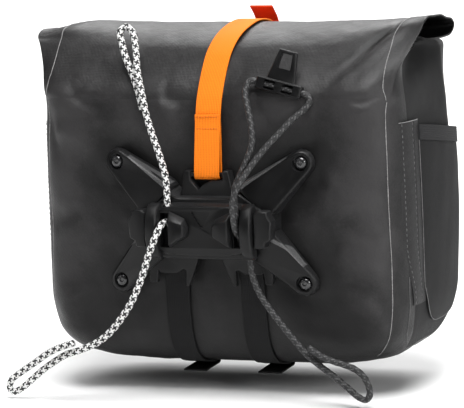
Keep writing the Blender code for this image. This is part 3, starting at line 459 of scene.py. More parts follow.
def shell_relief(base, turn):
    """Bulges, dents and creases of the bag, as a distance off its plain outline in millimetres."""
    x, y, z = (base[..., k] / MM for k in range(3))
    t = np.abs(turn)
    on_back = 1 - ease(BACK_END + 0.03, CORNER_END - 0.01, t)
    on_front = ease(SIDE_END + 0.02, FRONT_START + 0.02, t)
    on_side = ease(BACK_END + 0.06, CORNER_END, t) * (1 - ease(SIDE_END, FRONT_START - 0.04, t))
    edge = ease(-112, -86, z) * (1 - ease(96, 120, z))
    # the plate and straps hold the back panel flat, and it swells between and beyond them
    arm_way = np.abs(np.abs(z) - 0.612 * np.abs(x)) * 0.853
    near_plate = (1 - ease(8, 34, arm_way)) * (1 - ease(80, 106, np.abs(x)))
    near_strap = np.where(z > 20, 1 - ease(11, 34, np.abs(x)), 1 - ease(8, 26, np.abs(np.abs(x) - 31.5)))
    loose = (1 - near_plate) * (1 - near_strap)
    swell = 4.6 * loose * edge * (0.6 + 0.5 * waves(x, z, 3, 5, 130, 50))
    rim = 1.3 * ease(96, 128, np.abs(x)) * edge
    past_end = np.hypot(np.abs(x) - 84, np.abs(z) - 46)
    pressed = -1.6 * np.exp(-((past_end - 16) / 11) ** 2) - 1.4 * np.exp(-((arm_way - 26) / 10) ** 2) * (
        1 - ease(78, 100, np.abs(x))) * loose
    pressed = pressed * ease(10, 24, np.abs(x) + np.abs(z))
    creases = sum(segment_field(x, z, crease) for crease in BACK_CREASES)
    off = on_back * (swell + rim + pressed + creases * (1 - near_strap))
    off = off + on_front * (3.5 * edge * waves(x, z, 5, 5, 160, 60) + 1.5 * edge)
    off = off + on_side * 1.2 * waves(y, z, 7, 5, 90, 35) * ease(40, 90, z)
    off = off + 0.42 * waves(x + 0.7 * y, z, 11, 7, 46, 14) * (0.35 + 0.65 * loose)
    low_part = 1 - ease(-112, -96, z)
    off = off + low_part * 0.9 * waves(x, y, 13, 5, 80, 30)
    seam = np.minimum(np.abs(t - SEAM_TURN), np.abs(t - 1 + SEAM_TURN))
    return off - 0.55 * np.exp(-(seam / 0.0035) ** 2) * ease(-116, -100, z)


def shell(turn, share, lift=0.0):
    """The bag's surface: its plain outline moved out by its relief and by lift."""
    turn, share = np.broadcast_arrays(np.asarray(turn, float), np.asarray(share, float))
    base = shell_base(turn, share)
    return base + shell_normal(turn, share) * (shell_relief(base, turn) * MM + lift)[..., None]


def shell_painted_light_and_wear(turn, share):
    """How much painted light the cloth gets, with random wear: painted highlight on what stands out, along the
    back corners and towards the top, painted shade in hollows and low down.
    """
    base = shell_base(turn, share)
    x, y, z = (base[..., k] / MM for k in range(3))
    # Painted light from the relief: lighter where the cloth stands out, darker as painted shade in its hollows
    raised = np.clip((shell_relief(base, turn) + 1.2) / 6.0, 0, 1)
    raised = raised * (1 - 0.6 * ease(SIDE_END, FRONT_START, np.abs(turn)))
    # Painted highlight in a band along the back corners, by the side seams
    corner = np.exp(-((np.abs(turn) - 0.335) / 0.035) ** 2) * ease(-95, -30, z)
    corner = corner * (0.6 + 0.4 * waves(x, z, 51, 4, 90, 25))
    # Painted shade low down and painted light towards the top; the waves add random tone
    low = ease(-110, 20, z)
    tone = 0.62 * raised * (0.35 + 0.65 * low) + 0.34 * corner + 0.22 * ease(30, 120, z)
    return np.clip(tone + 0.12 * waves(x + y, z, 53, 6, 120, 20), 0, 1)


def add_tone(made, tone):
    """Stores a value for each vertex that the cloth's colour follows."""
    layer = made.data.attributes.new("painted_light_and_wear", "FLOAT", "POINT")
    layer.data.foreach_set("value", np.asarray(tone, np.float32).ravel())


def on_shell(turn, share, lift):
    """Points raised off the finished surface, square to it."""
    step = 0.002
    turn, share = np.broadcast_arrays(np.asarray(turn, float), np.asarray(share, float))
    here = shell(turn, share)
    round_it = shell(turn + step, share) - shell(turn - step, share)
    up_it = shell(turn, np.clip(share + step, 0, 1)) - shell(turn, np.clip(share - step, 0, 1))
    return here + unit(np.cross(round_it, up_it)) * np.asarray(lift)[..., None]


def shell_uv(turn, share):
    """Cloth coordinates in metres: the way round and the way up."""
    bag = sizes()
    return np.stack([turn * (bag.width + bag.depth), share * bag.height], -1)


def make_shell(looks):
    """Body cloth: rows up the bag, closed under it, and drawn in to the mouth under the roll."""
    bag = sizes()
    turn = np.linspace(-1, 1, 361)[:-1]
    share = np.concatenate([np.linspace(0, 0.12, 24)[:-1], np.linspace(0.12, 0.8, 110)[:-1],
                            np.linspace(0.8, 1.0, 52)])
    grid_turn, grid_share = np.meshgrid(turn, share)
    body = shell(grid_turn, grid_share)
    bottom, top = body[0], body[-1]
    centre = bottom.mean(0)
    shrink = np.linspace(0.03, 1, 14)[:-1][:, None, None]
    base = centre + (bottom - centre) * shrink
    base[..., 2] = bottom[..., 2].min() - 0.0004 + 0.0004 * shrink[..., 0] + np.zeros_like(base[..., 2])
    base[..., 2] += 0.0007 * waves(base[..., 0] / MM, base[..., 1] / MM, 17, 5, 90, 30) * (1 - shrink[..., 0])
    mouth_y = bag.back + 0.54 * bag.depth
    inward = np.linspace(0, 1, 10)[1:][:, None, None]
    target = top.copy()
    target[:, 1] = mouth_y + np.sign(top[:, 1] - mouth_y) * 0.0006
    target[:, 0] *= 0.93
    cap = top + (target - top) * inward
    cap[..., 2] = top[..., 2] + 0.0012 * ease(0.0, 1.0, inward[..., 0])
    rings = np.concatenate([base, body, cap])
    rows = len(rings)
    shares = np.concatenate([np.linspace(-0.2, 0, 13, endpoint=False), share, np.linspace(1.0, 1.1, 9)])
    all_turns, all_shares = np.meshgrid(turn, shares)
    uv = shell_uv(all_turns, all_shares)
    made = tube_mesh("bag_shell", rings, looks["coated"], uv)
    # The cloth's colour follows this stored painted light and wear
    add_tone(made, shell_painted_light_and_wear(all_turns, np.clip(all_shares, 0, 1)))
    # The side panels take the darker side cloth, as painted shade
    made.data.materials.append(looks["side"])
    sides = (np.abs(turn) > 0.405) & (np.abs(turn) < 0.60)
    upper = (shares > 0.05) & (shares < 1.02)
    index = np.zeros(len(made.data.polygons), np.int32)
    body_faces = (rows - 1) * len(turn)
    index[:body_faces] = (upper[:-1, None] & sides[None]).ravel()
    made.data.polygons.foreach_set("material_index", index)
    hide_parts("bag_body")
    return made


def roll_sheet(across, way):
    """The rolled cloth: across is -1 to 1 along the roll, way is 0 at the shoulder to 1 inside it."""
    middle = smooth_line(ROLL_MIDDLE, way)
    end = smooth_line(ROLL_END, way)
    reach = smooth_line(ROLL_REACH[:, None], way)[..., 0]
    blend = np.abs(across) ** 2.6
    blend = blend * (1 - 0.25 * ease(0.0, 0.12, way) * (1 - ease(0.12, 0.3, way)) * (1 - np.abs(across)))
    y, z = np.moveaxis(middle + (end - middle) * blend[..., None], -1, 0)
    x = reach * across
    top = ease(0.10, 0.18, way) * (1 - ease(0.36, 0.5, way))
    ripple = waves(x, y, 21, 6, 120, 30)
    z = z + top * (0.7 * ripple + 0.25 * waves(x, y, 23, 6, 36, 12))
    z = z + 0.8 * ease(0.86, 1.0, np.abs(across)) * waves(y, z, 27, 4, 34, 16)
    fold = sum(segment_field(x, z, crease) for crease in ROLL_CREASES) * (1 - ease(0.14, 0.24, way))
    y, z = y - 0.6 * fold, z + 0.8 * fold
    # the left end is squashed lower and a little longer than the right one
    left = ease(-0.80, -1.0, across) * ease(0.06, 0.13, way)
    z = z - 8.5 * left * np.clip((z - 132) / 16, 0, 1)
    x = x - 3.0 * left * (1 - ease(0.5, 0.6, way))
    rolled = np.stack([x, y, z], -1) * MM
    # the first of it lies on the shell's own surface and parts from it little by little
    lift = -0.0006 + 0.0020 * ease(0.0, 0.06, way)
    on_bag = on_shell(across * ROLL_TURN, ROLL_START + np.clip(way, 0, 0.10), lift)
    part = ease(0.030, 0.112, way)[..., None]
    return on_bag + (rolled - on_bag) * part


def cut_size(grid):
    """A sheet's flat size: its widest row, its longest column, and its area from the cells' diagonals."""
    width = np.linalg.norm(np.diff(grid, axis=1), axis=2).sum(axis=1).max()
    length = np.linalg.norm(np.diff(grid, axis=0), axis=2).sum(axis=0).max()
    crossed = np.cross(grid[1:, 1:] - grid[:-1, :-1], grid[1:, :-1] - grid[:-1, 1:])
    area = np.linalg.norm(crossed, axis=-1).sum() / 2
    return tuple(round(float(size), 4) for size in (width, length, area))


def make_roll(looks):
    """Rolled mouth: one sheet from the shoulder over the top and round twice, with a real thickness."""
    across = np.linspace(-1, 1, 221)
    across = np.sign(across) * np.abs(across) ** 0.9
    way = np.linspace(0, 1, 210)
    grid_across, grid_way = np.meshgrid(across, way)
    outer = roll_sheet(grid_across, grid_way)
    cut_width, cut_length, cut_area = cut_size(outer)
    uv = np.stack([outer[..., 0], np.broadcast_to((way * cut_length)[:, None], grid_way.shape)], -1)
    down = np.gradient(outer, axis=0)
    side = np.gradient(outer, axis=1)
    normal = unit(np.cross(side, down))
    if normal[50, 110, 2] < 0:
        normal = -normal
    inner = outer - normal * sizes().cloth
    made = sharpen(slab_mesh("rolled_mouth", outer, inner, looks["coated"], uv), 50)
    x, y, z = (outer[..., k] / MM for k in range(3))
    fold = sum(segment_field(x, z, crease) for crease in ROLL_CREASES) * (1 - ease(0.14, 0.24, grid_way))
    # Painted light on the rolled cloth: it starts with the shell's painted light and wear, turns lighter over
    # the top with painted shade in its creases, darkens as painted shade deeper in the roll, and its inner
    # face is darker still as painted shade
    flat = shell_painted_light_and_wear(grid_across * ROLL_TURN, ROLL_START + np.clip(grid_way, 0, 0.1))
    high = np.clip(0.42 + 0.16 * waves(x, z + y, 57, 6, 130, 26) + 0.16 * fold, 0, 1)
    high = high * (1 - ease(0.34, 0.5, grid_way))
    tone = flat + (high - flat) * ease(0.0, 0.1, grid_way)
    add_tone(made, np.concatenate([tone.ravel(), 0.2 * tone.ravel()]))
    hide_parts("roll_top")
    return made


def seam_line(name, points, radius, look):
    """A thin raised line: a small round section carried along a path on the cloth."""
    path = even_line(points, max(24, int(length_of(points) / 0.0022)))
    tangent, side, other = frames_along(path)
    angle = np.linspace(0, 2 * np.pi, 7)[:-1]
    fade = 0.55 + 0.45 * np.abs(waves(along(path) / MM, 0 * path[:, 0], 41, 5, 60, 9))
    ring = side[:, None] * np.cos(angle)[None, :, None] + other[:, None] * np.sin(angle)[None, :, None]
    return tube_mesh(name, path[:, None] + ring * (radius * fade)[:, None, None], look)


def stitch_row(name, points, normals, look, pitch=0.0030, long=0.0020, wide=0.00022):
    """A row of stitches: one small lozenge, copied to even places along a path and turned with it."""
    total = length_of(points)
    count = max(2, int(total / pitch))
    far = along(points)
    want = (np.arange(count) + 0.5) * total / count
    place = np.stack([np.interp(want, far, points[:, k]) for k in range(3)], 1)
    normal = unit(np.stack([np.interp(want, far, normals[:, k]) for k in range(3)], 1))
    slope = np.gradient(points, far, axis=0)
    tangent = unit(np.stack([np.interp(want, far, slope[:, k]) for k in range(3)], 1))
    side = np.cross(tangent, normal)
    template = np.array([(-0.5, 0, 0), (-0.25, 1, 0), (-0.25, 0, 1), (-0.25, -1, 0), (-0.25, 0, -1),
                         (0.25, 1, 0), (0.25, 0, 1), (0.25, -1, 0), (0.25, 0, -1), (0.5, 0, 0)])
    faces = np.array([(1, 2, 6, 5), (2, 3, 7, 6), (3, 4, 8, 7), (4, 1, 5, 8),
                      (0, 2, 1, 1), (0, 3, 2, 2), (0, 4, 3, 3), (0, 1, 4, 4),
                      (9, 5, 6, 6), (9, 6, 7, 7), (9, 7, 8, 8), (9, 8, 5, 5)])
    verts = (place[:, None] + tangent[:, None] * template[None, :, :1] * long
             + side[:, None] * template[None, :, 1:2] * wide + normal[:, None] * template[None, :, 2:] * wide)
    every = (faces[None] + (np.arange(count) * len(template))[:, None, None]).reshape(-1, 4)
    listed = [row[:3] if row[2] == row[3] else row for row in every.tolist()]
    made = new_object(name, verts.reshape(-1, 3), listed, look)
    outward(made)
    return made


# Ribbons and tubes

def strap_rings(path, width, thickness, x, ribs=0, groove=0.0, width_at=None):
    """Cross-sections of webbing along a path in depth and height, flat with rounded selvedges."""
    count = 46
    u = np.linspace(-1, 1, count)
    edge = np.sqrt(np.clip(1 - np.clip((np.abs(u) - 0.93) / 0.07, 0, 1) ** 2, 0.02, 1))
    rib = groove * np.abs(np.sin(np.pi * ribs * (u + 1) / 2)) if ribs else 0
    high = (thickness / 2 - groove + rib) * edge
    across = np.concatenate([u, u[::-1]]) * width / 2
    out = np.concatenate([high, -high[::-1]])
    tangent = unit(np.gradient(path, axis=0))
    normal = np.stack([-tangent[:, 1], tangent[:, 0]], 1)
    scale = np.ones(len(path)) if width_at is None else width_at
    rings = np.zeros((len(path), 2 * count, 3))
    rings[..., 0] = x + across[None] * scale[:, None]
    rings[..., 1] = path[:, None, 0] + normal[:, None, 0] * out[None]
    rings[..., 2] = path[:, None, 1] + normal[:, None, 1] * out[None]
    uv = np.stack([np.broadcast_to(across, rings.shape[:2]),
                   np.broadcast_to(along(path)[:, None], rings.shape[:2])], -1)
    return rings, uv


def closure_path():
    """The orange strap's middle line (depth, height): lap, round the bar, up the back and over the roll."""
    front_layer = [(31.2, 83.0), (30.9, 76.0), (28.9, 64.0), (26.6, 50.0), (25.3, 42.0)]
    loop = [(28 - 2.95 * math.cos(a), 36.8 - 2.95 * math.sin(a)) for a in np.radians(np.arange(0, 181, 30))]
    back_layer = [(31.2, 44.0), (31.6, 52.0), (32.2, 64.0), (32.5, 74.0), (33.2, 84.0), (36.4, 94.0),
                  (40.0, 101.0), (44.0, 107.6), (50.4, 116.6), (59.8, 126.9), (71.6, 134.6), (85.2, 140.3),
                  (100.6, 144.0), (121.0, 146.8), (138.6, 146.0), (151.4, 142.8), (157.5, 136.0),
                  (160.5, 129.0), (166.0, 122.0), (175.5, 115.6), (182.4, 109.0), (186.6, 101.0)]
    return np.array(front_layer + loop + back_layer) * MM


def frames_along(path):
    """Directions that travel along a path without twisting: tangents and two square directions."""
    tangent = unit(np.gradient(path, axis=0))
    first = np.cross(tangent[0], [0.31, 0.2, 0.93])
    side = [unit(first)]
    for now in tangent[1:]:
        carried = side[-1] - now * (side[-1] @ now)
        side.append(unit(carried))
    side = np.array(side)
    return tangent, side, np.cross(tangent, side)


def cord_mesh(name, route, diameter, look, sides=20, strands=8, pitch=2.6):
    """A braided cord: a tube whose skin rises where strands of the two hands pass over each other."""
    control = np.array(route) * MM
    rough = even_line(control, 400)
    total = length_of(rough)
    rows = int(total / (0.16 * diameter))
    path = even_line(control, rows)
    tangent, side, other = frames_along(path)
    angle = np.linspace(0, 2 * np.pi, sides, endpoint=False)
    s = along(path)[:, None] / (pitch * diameter)
    a = angle[None] * strands / (2 * np.pi)
    braid = np.abs(np.sin(np.pi * (a / 2 + s * 2)) * np.sin(np.pi * (a / 2 - s * 2)))
    radius = diameter / 2 * (0.94 + 0.10 * braid)
    ring = side[:, None] * np.cos(angle)[None, :, None] + other[:, None] * np.sin(angle)[None, :, None]
    rings = path[:, None] + ring * radius[..., None]
    uv = np.stack([np.broadcast_to(angle[None] / (2 * np.pi), rings.shape[:2]),
                   np.broadcast_to(s, rings.shape[:2])], -1)
    made = tube_mesh(name, rings, look, uv)
    fix_wrap_uv(made, rows, sides)
    return made, path, total


def fix_wrap_uv(made, rows, columns):
    """The last strip round a tube runs to 1 and not back to 0."""
    data = made.data
    layer = data.uv_layers["cloth"]
    values = np.zeros(len(data.loops) * 2, np.float32)
    layer.data.foreach_get("uv", values)
    values = values.reshape(-1, 2)
    start = np.zeros(len(data.polygons), int)
    data.polygons.foreach_get("loop_start", start)
    quads = start[:(rows - 1) * columns]
    index = (quads[:, None] + np.arange(4)[None])
    u = values[index, 0]
    wraps = u.max(1) - u.min(1) > 0.5
    u[wraps] = np.where(u[wraps] < 0.25, u[wraps] + 1, u[wraps])
    values[index, 0] = u
    layer.data.foreach_set("uv", values.ravel())


# Node materials

def new_group(name, inputs, outputs):
    group = bpy.data.node_groups.new(name, "ShaderNodeTree")
    for label, kind, value in inputs:
        socket = group.interface.new_socket(name=label, in_out="INPUT", socket_type=kind)
        socket.default_value = value
    for label, kind in outputs:
        group.interface.new_socket(name=label, in_out="OUTPUT", socket_type=kind)
    return group, group.nodes.new("NodeGroupInput"), group.nodes.new("NodeGroupOutput")


class Wires:
    """Short words for adding and joining nodes in one tree."""

    def __init__(self, tree):
        self.tree = tree

    def node(self, kind, **values):
        made = self.tree.nodes.new(kind)
        for key, value in values.items():
            setattr(made, key, value)
        return made

    def join(self, source, target):
        self.tree.links.new(source, target)

    def feed(self, target, value):
        if isinstance(value, bpy.types.NodeSocket):
            self.join(value, target)
        else:
            target.default_value = value

    def math(self, operation, a, b=0.0, c=0.0, clamp=False):
        made = self.node("ShaderNodeMath", operation=operation, use_clamp=clamp)
        for socket, value in zip(made.inputs, (a, b, c)):
            self.feed(socket, value)
        return made.outputs[0]

    def times(self, a, b, clamp=False):
        return self.math("MULTIPLY", a, b, clamp=clamp)

    def plus(self, a, b, clamp=False):
        return self.math("ADD", a, b, clamp=clamp)

    def ridges(self, value, each):
        """Rounded ridges, so many to each unit of the value."""
        return self.math("ABSOLUTE", self.math("SINE", self.times(value, each * math.pi)))

    def place(self):
        """The piece's own coordinates in metres."""
        return self.node("ShaderNodeTexCoord").outputs["Object"]

    def cloth_way(self):
        """Coordinates along the cloth in metres."""
        return self.node("ShaderNodeUVMap", uv_map="cloth").outputs[0]

    def noise(self, vector, scale, detail=3.0, rough=0.55):
        made = self.node("ShaderNodeTexNoise")
        self.join(vector, made.inputs["Vector"])
        made.inputs["Scale"].default_value = scale
        made.inputs["Detail"].default_value = detail
        made.inputs["Roughness"].default_value = rough
        return made.outputs["Fac"]

    def range(self, value, low, high, out_low=0.0, out_high=1.0):
        made = self.node("ShaderNodeMapRange", interpolation_type="SMOOTHSTEP")
        self.join(value, made.inputs["Value"])
        for key, number in (("From Min", low), ("From Max", high), ("To Min", out_low), ("To Max", out_high)):
            self.feed(made.inputs[key], number)
        return made.outputs["Result"]

    def mix(self, share, a, b):
        made = self.node("ShaderNodeMix", data_type="RGBA")
        self.feed(made.inputs[0], share)
        for socket, value in ((made.inputs[6], a), (made.inputs[7], b)):
            if isinstance(value, bpy.types.NodeSocket):
                self.join(value, socket)
            else:
                socket.default_value = (*value[:3], 1.0)
        return made.outputs[2]


def weave_group():
    """Plain weave from cloth coordinates: threads over and under, their height and a fleck of shade."""
    group, source, result = new_group(
        "plain_weave",
        [("Vector", "NodeSocketVector", (0, 0, 0)), ("Threads per metre", "NodeSocketFloat", 1400.0)],
        [("Height", "NodeSocketFloat"), ("Shade", "NodeSocketFloat")])
    w = Wires(group)
    split = w.node("ShaderNodeSeparateXYZ")
    w.join(source.outputs["Vector"], split.inputs[0])
    a = w.times(split.outputs["X"], source.outputs["Threads per metre"])
    b = w.times(split.outputs["Y"], source.outputs["Threads per metre"])
    warp = w.ridges(a, 1.0)
    weft = w.ridges(b, 1.0)
    over = w.math("SINE", w.times(w.plus(w.math("FLOOR", a), w.math("FLOOR", b)), math.pi / 2))
    height = w.plus(w.times(warp, 0.5), w.times(weft, 0.5))
    w.join(w.plus(height, w.times(over, 0.15)), result.inputs["Height"])
    w.join(w.noise(source.outputs["Vector"], 900.0, 1.0), result.inputs["Shade"])
    return group


def wear_group():
    """Uneven handling: broad cloudy patches and fine dust that lighten a colour and roughen it."""
    group, source, result = new_group(
        "handled_patches",
        [("Base", "NodeSocketColor", (0, 0, 0, 1)), ("Worn", "NodeSocketColor", (0.1, 0.1, 0.1, 1)),
         ("Amount", "NodeSocketFloat", 0.5), ("Patch size", "NodeSocketFloat", 14.0),
         ("Roughness", "NodeSocketFloat", 0.5)],
        [("Colour", "NodeSocketColor"), ("Roughness", "NodeSocketFloat"), ("Patches", "NodeSocketFloat")])
    w = Wires(group)
    place = w.place()
    made = w.node("ShaderNodeTexNoise")
    w.join(place, made.inputs["Vector"])
    w.join(source.outputs["Patch size"], made.inputs["Scale"])
    made.inputs["Detail"].default_value = 4.0
    patches = w.range(made.outputs["Fac"], 0.38, 0.68)
    fine = w.range(w.noise(place, 420.0, 2.0), 0.35, 0.75)
    share = w.times(w.plus(w.times(patches, 0.7), w.times(fine, 0.3)),
                   source.outputs["Amount"], clamp=True)
    w.join(w.mix(share, source.outputs["Base"], source.outputs["Worn"]), result.inputs["Colour"])
    w.join(w.plus(source.outputs["Roughness"], w.times(patches, 0.08)), result.inputs["Roughness"])
    w.join(patches, result.inputs["Patches"])
    return group


class Looks:
    """All materials of the bag, made once."""

    def __init__(self):
        self.weave = weave_group()
        self.wear = wear_group()
        ink = bpy.context.scene.bag_finishes
        self.made = {
            # The coated cloth's last colour is its painted-light colour
            "coated": self.cloth("coated_cloth", ink.coated, 0.40, 1300.0, 0.10, (0.016, 0.0155, 0.016), 0.45,
                                 (0.031, 0.0298, 0.0305)),
            "pocket": self.cloth("pocket_cloth", ink.pocket, 0.72, 1500.0, 0.16, (0.022, 0.022, 0.023), 0.35),
            # The side panels' cloth is rougher, and darker than the coated cloth with no painted light on it:
            # painted shade under the roll's ends
            "side": self.cloth("side_cloth_shaded", (0.0055, 0.0055, 0.0058), 0.7, 1300.0, 0.2,
                               (0.013, 0.013, 0.0135), 0.5),
            "hem": self.webbing("ribbed_hem", (0.022, 0.022, 0.023), 900.0, 2200.0, 0.3),
            "tape": self.cloth("binding_tape", (0.010, 0.0098, 0.010), 0.5, 1500.0, 0.2,
                               (0.040, 0.039, 0.040), 0.6),
            "orange": self.webbing("orange_webbing", ink.orange, 760.0, 1500.0, 0.35),
            # The tab's redder, darker copy of the orange webbing is painted shade
            "red_orange": self.webbing("red_orange_webbing", ink.red_orange, 760.0, 1500.0, 0.35),
            "black_web": self.webbing("black_webbing", (0.0065, 0.0065, 0.0069), 700.0, 1100.0, 0.35),
            "plastic": self.plastic("moulded_plastic", ink.plastic, 0.30),
            # Light grey strips on the arms' rims: painted highlights
            "facet": self.grainy_highlight("arm_rim_highlights", (0.085, 0.085, 0.086)),
            "steel": self.steel("black_steel"),
            "white_cord": self.braid("white_braid", ink.white, (0.010, 0.010, 0.011), 1.5),
            "black_cord": self.braid("black_braid", (0.010, 0.010, 0.0105), (0.075, 0.075, 0.076), 0.5),
            # Light grey seam lines: painted highlight along the raised weld edges
            "seam": self.plain("seam_edge_highlight", (0.30, 0.295, 0.295), 0.6),
            "thread": self.plain("sewing_thread", (0.16, 0.158, 0.16), 0.7),
            "orange_thread": self.plain("orange_thread", (0.75, 0.17, 0.01), 0.7),
        }

    def __getitem__(self, name):
        return self.made[name]

    def start(self, name):
        look = bpy.data.materials.new(name)
        look.use_nodes = True
        return look, Wires(look.node_tree), look.node_tree.nodes["Principled BSDF"]

    def worn(self, w, shader, base, worn, amount, size, rough):
        group = w.node("ShaderNodeGroup", node_tree=self.wear)
        group.inputs["Base"].default_value = (*base, 1)
        group.inputs["Worn"].default_value = (*worn, 1)
        group.inputs["Amount"].default_value = amount
        group.inputs["Patch size"].default_value = size
        group.inputs["Roughness"].default_value = rough
        w.join(group.outputs["Colour"], shader.inputs["Base Color"])
        w.join(group.outputs["Roughness"], shader.inputs["Roughness"])
        return group

    def bump(self, w, shader, height, distance, strength=1.0):
        made = w.node("ShaderNodeBump")
        made.inputs["Distance"].default_value = distance
        made.inputs["Strength"].default_value = strength
        w.join(height, made.inputs["Height"])
        w.join(made.outputs["Normal"], shader.inputs["Normal"])

    def cloth(self, name, base, rough, threads, depth, worn, amount, painted_light_and_wear=None):
        look, w, shader = self.start(name)
        group = self.worn(w, shader, base, worn, amount, 11.0, rough)
        # Mixes the colour towards the painted-light colour by the stored painted light and wear, with a fine
        # random speck
        if painted_light_and_wear:
            grain = w.place()
            speck = w.plus(w.times(w.noise(grain, 850.0, 2.0), 0.34),
                           w.times(w.noise(grain, 170.0, 3.0), 0.30))
            tone = w.node("ShaderNodeAttribute", attribute_name="painted_light_and_wear").outputs["Fac"]
            tone = w.math("SUBTRACT", w.plus(tone, speck), 0.32)
            colour = w.mix(w.range(tone, 0.12, 0.85), group.outputs["Colour"], painted_light_and_wear)
            w.join(colour, shader.inputs["Base Color"])
        shader.inputs["Specular IOR Level"].default_value = 0.26
        uv = w.cloth_way()
        weave = w.node("ShaderNodeGroup", node_tree=self.weave)
        w.join(uv, weave.inputs["Vector"])
        weave.inputs["Threads per metre"].default_value = threads
        place = w.place()
        crumple = w.noise(place, 60.0, 5.0, 0.6)
        height = w.plus(w.times(weave.outputs["Height"], depth), w.times(crumple, 0.9))
        self.bump(w, shader, height, 0.0012, 0.7)
        return look

    def webbing(self, name, base, lengthwise, crosswise, depth):
        """Webbing: lengthwise cords crossed by picks, from the ribbon's own coordinates."""
        look, w, shader = self.start(name)
        dark = tuple(c * 0.55 for c in base)
        uv = w.cloth_way()
        split = w.node("ShaderNodeSeparateXYZ")
        w.join(uv, split.inputs[0])
        across = w.ridges(split.outputs["X"], lengthwise)
        picks = w.ridges(split.outputs["Y"], crosswise / 2)
        height = w.times(across, w.plus(w.times(picks, 0.5), 0.5))
        place = w.place()
        fuzz = w.noise(place, 900.0, 2.0)
        shade = w.range(w.plus(height, w.times(fuzz, 0.3)), 0.1, 0.75)
        w.join(w.mix(shade, dark, base), shader.inputs["Base Color"])
        self.bump(w, shader, height, 0.0005, depth)
        shader.inputs["Roughness"].default_value = 0.78
        shader.inputs["Specular IOR Level"].default_value = 0.25
        return look

    def plastic(self, name, base, rough):
        """Moulded nylon: dark smooth faces, and walls left grainier and greyer by the mould."""
        look, w, shader = self.start(name)
        group = self.worn(w, shader, base, tuple(c * 2.2 + 0.004 for c in base), 0.25, 60.0, rough)
        coordinates = w.node("ShaderNodeTexCoord")
        place = coordinates.outputs["Object"]
        split = w.node("ShaderNodeSeparateXYZ")
        w.join(coordinates.outputs["Normal"], split.inputs[0])
        facing = w.math("ABSOLUTE", split.outputs["Y"])
        wall = w.math("SUBTRACT", 1.0, w.range(facing, 0.25, 0.8))
        grain = w.noise(place, 1500.0, 3.0, 0.7)
        amount = w.times(wall, w.times(w.range(grain, 0.3, 0.75), 0.9))
        shader.inputs["Specular IOR Level"].default_value = 0.26
        lighter = tuple(c * 5.0 + 0.022 for c in base)
        w.join(w.mix(amount, group.outputs["Colour"], lighter), shader.inputs["Base Color"])
        height = w.plus(w.times(grain, w.plus(wall, 0.25)), w.noise(place, 2600.0, 2.0))
        self.bump(w, shader, height, 0.00016, 0.8)
        return look

    def grainy_highlight(self, name, colour):
        """Light grey grainy speckled material for the painted highlights along the arms' rims."""
        look, w, shader = self.start(name)
        place = w.place()
        grain = w.noise(place, 1700.0, 3.0, 0.75)
        shade = w.range(grain, 0.3, 0.72)
        w.join(w.mix(shade, tuple(c * 0.25 for c in colour), tuple(c * 1.6 for c in colour)),
               shader.inputs["Base Color"])
        shader.inputs["Roughness"].default_value = 0.42
        self.bump(w, shader, grain, 0.00018, 0.8)
        return look

    def steel(self, name):
        look, w, shader = self.start(name)
        self.worn(w, shader, (0.012, 0.012, 0.013), (0.03, 0.03, 0.032), 0.3, 200.0, 0.16)
        shader.inputs["Metallic"].default_value = 0.0
        shader.inputs["Coat Weight"].default_value = 0.6
        return look

    def braid(self, name, light, dark, share):
        """Braided cover: slanting yarns of both hands, some of them of the second colour."""
        look, w, shader = self.start(name)
        uv = w.cloth_way()
        split = w.node("ShaderNodeSeparateXYZ")
        w.join(uv, split.inputs[0])
        a = w.times(split.outputs["X"], 10.0)
        run = w.times(split.outputs["Y"], 8.0)
        left = w.math("FLOOR", w.plus(a, run))
        right = w.math("FLOOR", w.math("SUBTRACT", a, run))
        over = w.math("FLOORED_MODULO", w.plus(left, right), 2.0)
        first = w.math("LESS_THAN", w.math("FLOORED_MODULO", left, 4.0), share)
        second = w.math("LESS_THAN", w.math("FLOORED_MODULO", right, 4.0), share)
        fleck = w.plus(w.times(first, over),
                       w.times(second, w.math("SUBTRACT", 1.0, over)), clamp=True)
        w.join(w.mix(fleck, light, dark), shader.inputs["Base Color"])
        shader.inputs["Roughness"].default_value = 0.62
        place = w.place()
        self.bump(w, shader, w.noise(place, 1800.0, 2.0), 0.0002, 0.6)
        return look

    def plain(self, name, colour, rough):
        look, w, shader = self.start(name)
        place = w.place()
        shade = w.range(w.noise(place, 500.0, 2.0), 0.3, 0.7)
        w.join(w.mix(shade, tuple(c * 0.6 for c in colour), colour), shader.inputs["Base Color"])
        shader.inputs["Roughness"].default_value = rough
        return look


LOOKS = {}


def looks():
    if "all" not in LOOKS:
        LOOKS["all"] = Looks()
    return LOOKS["all"]


# Operators, one for each group of pieces

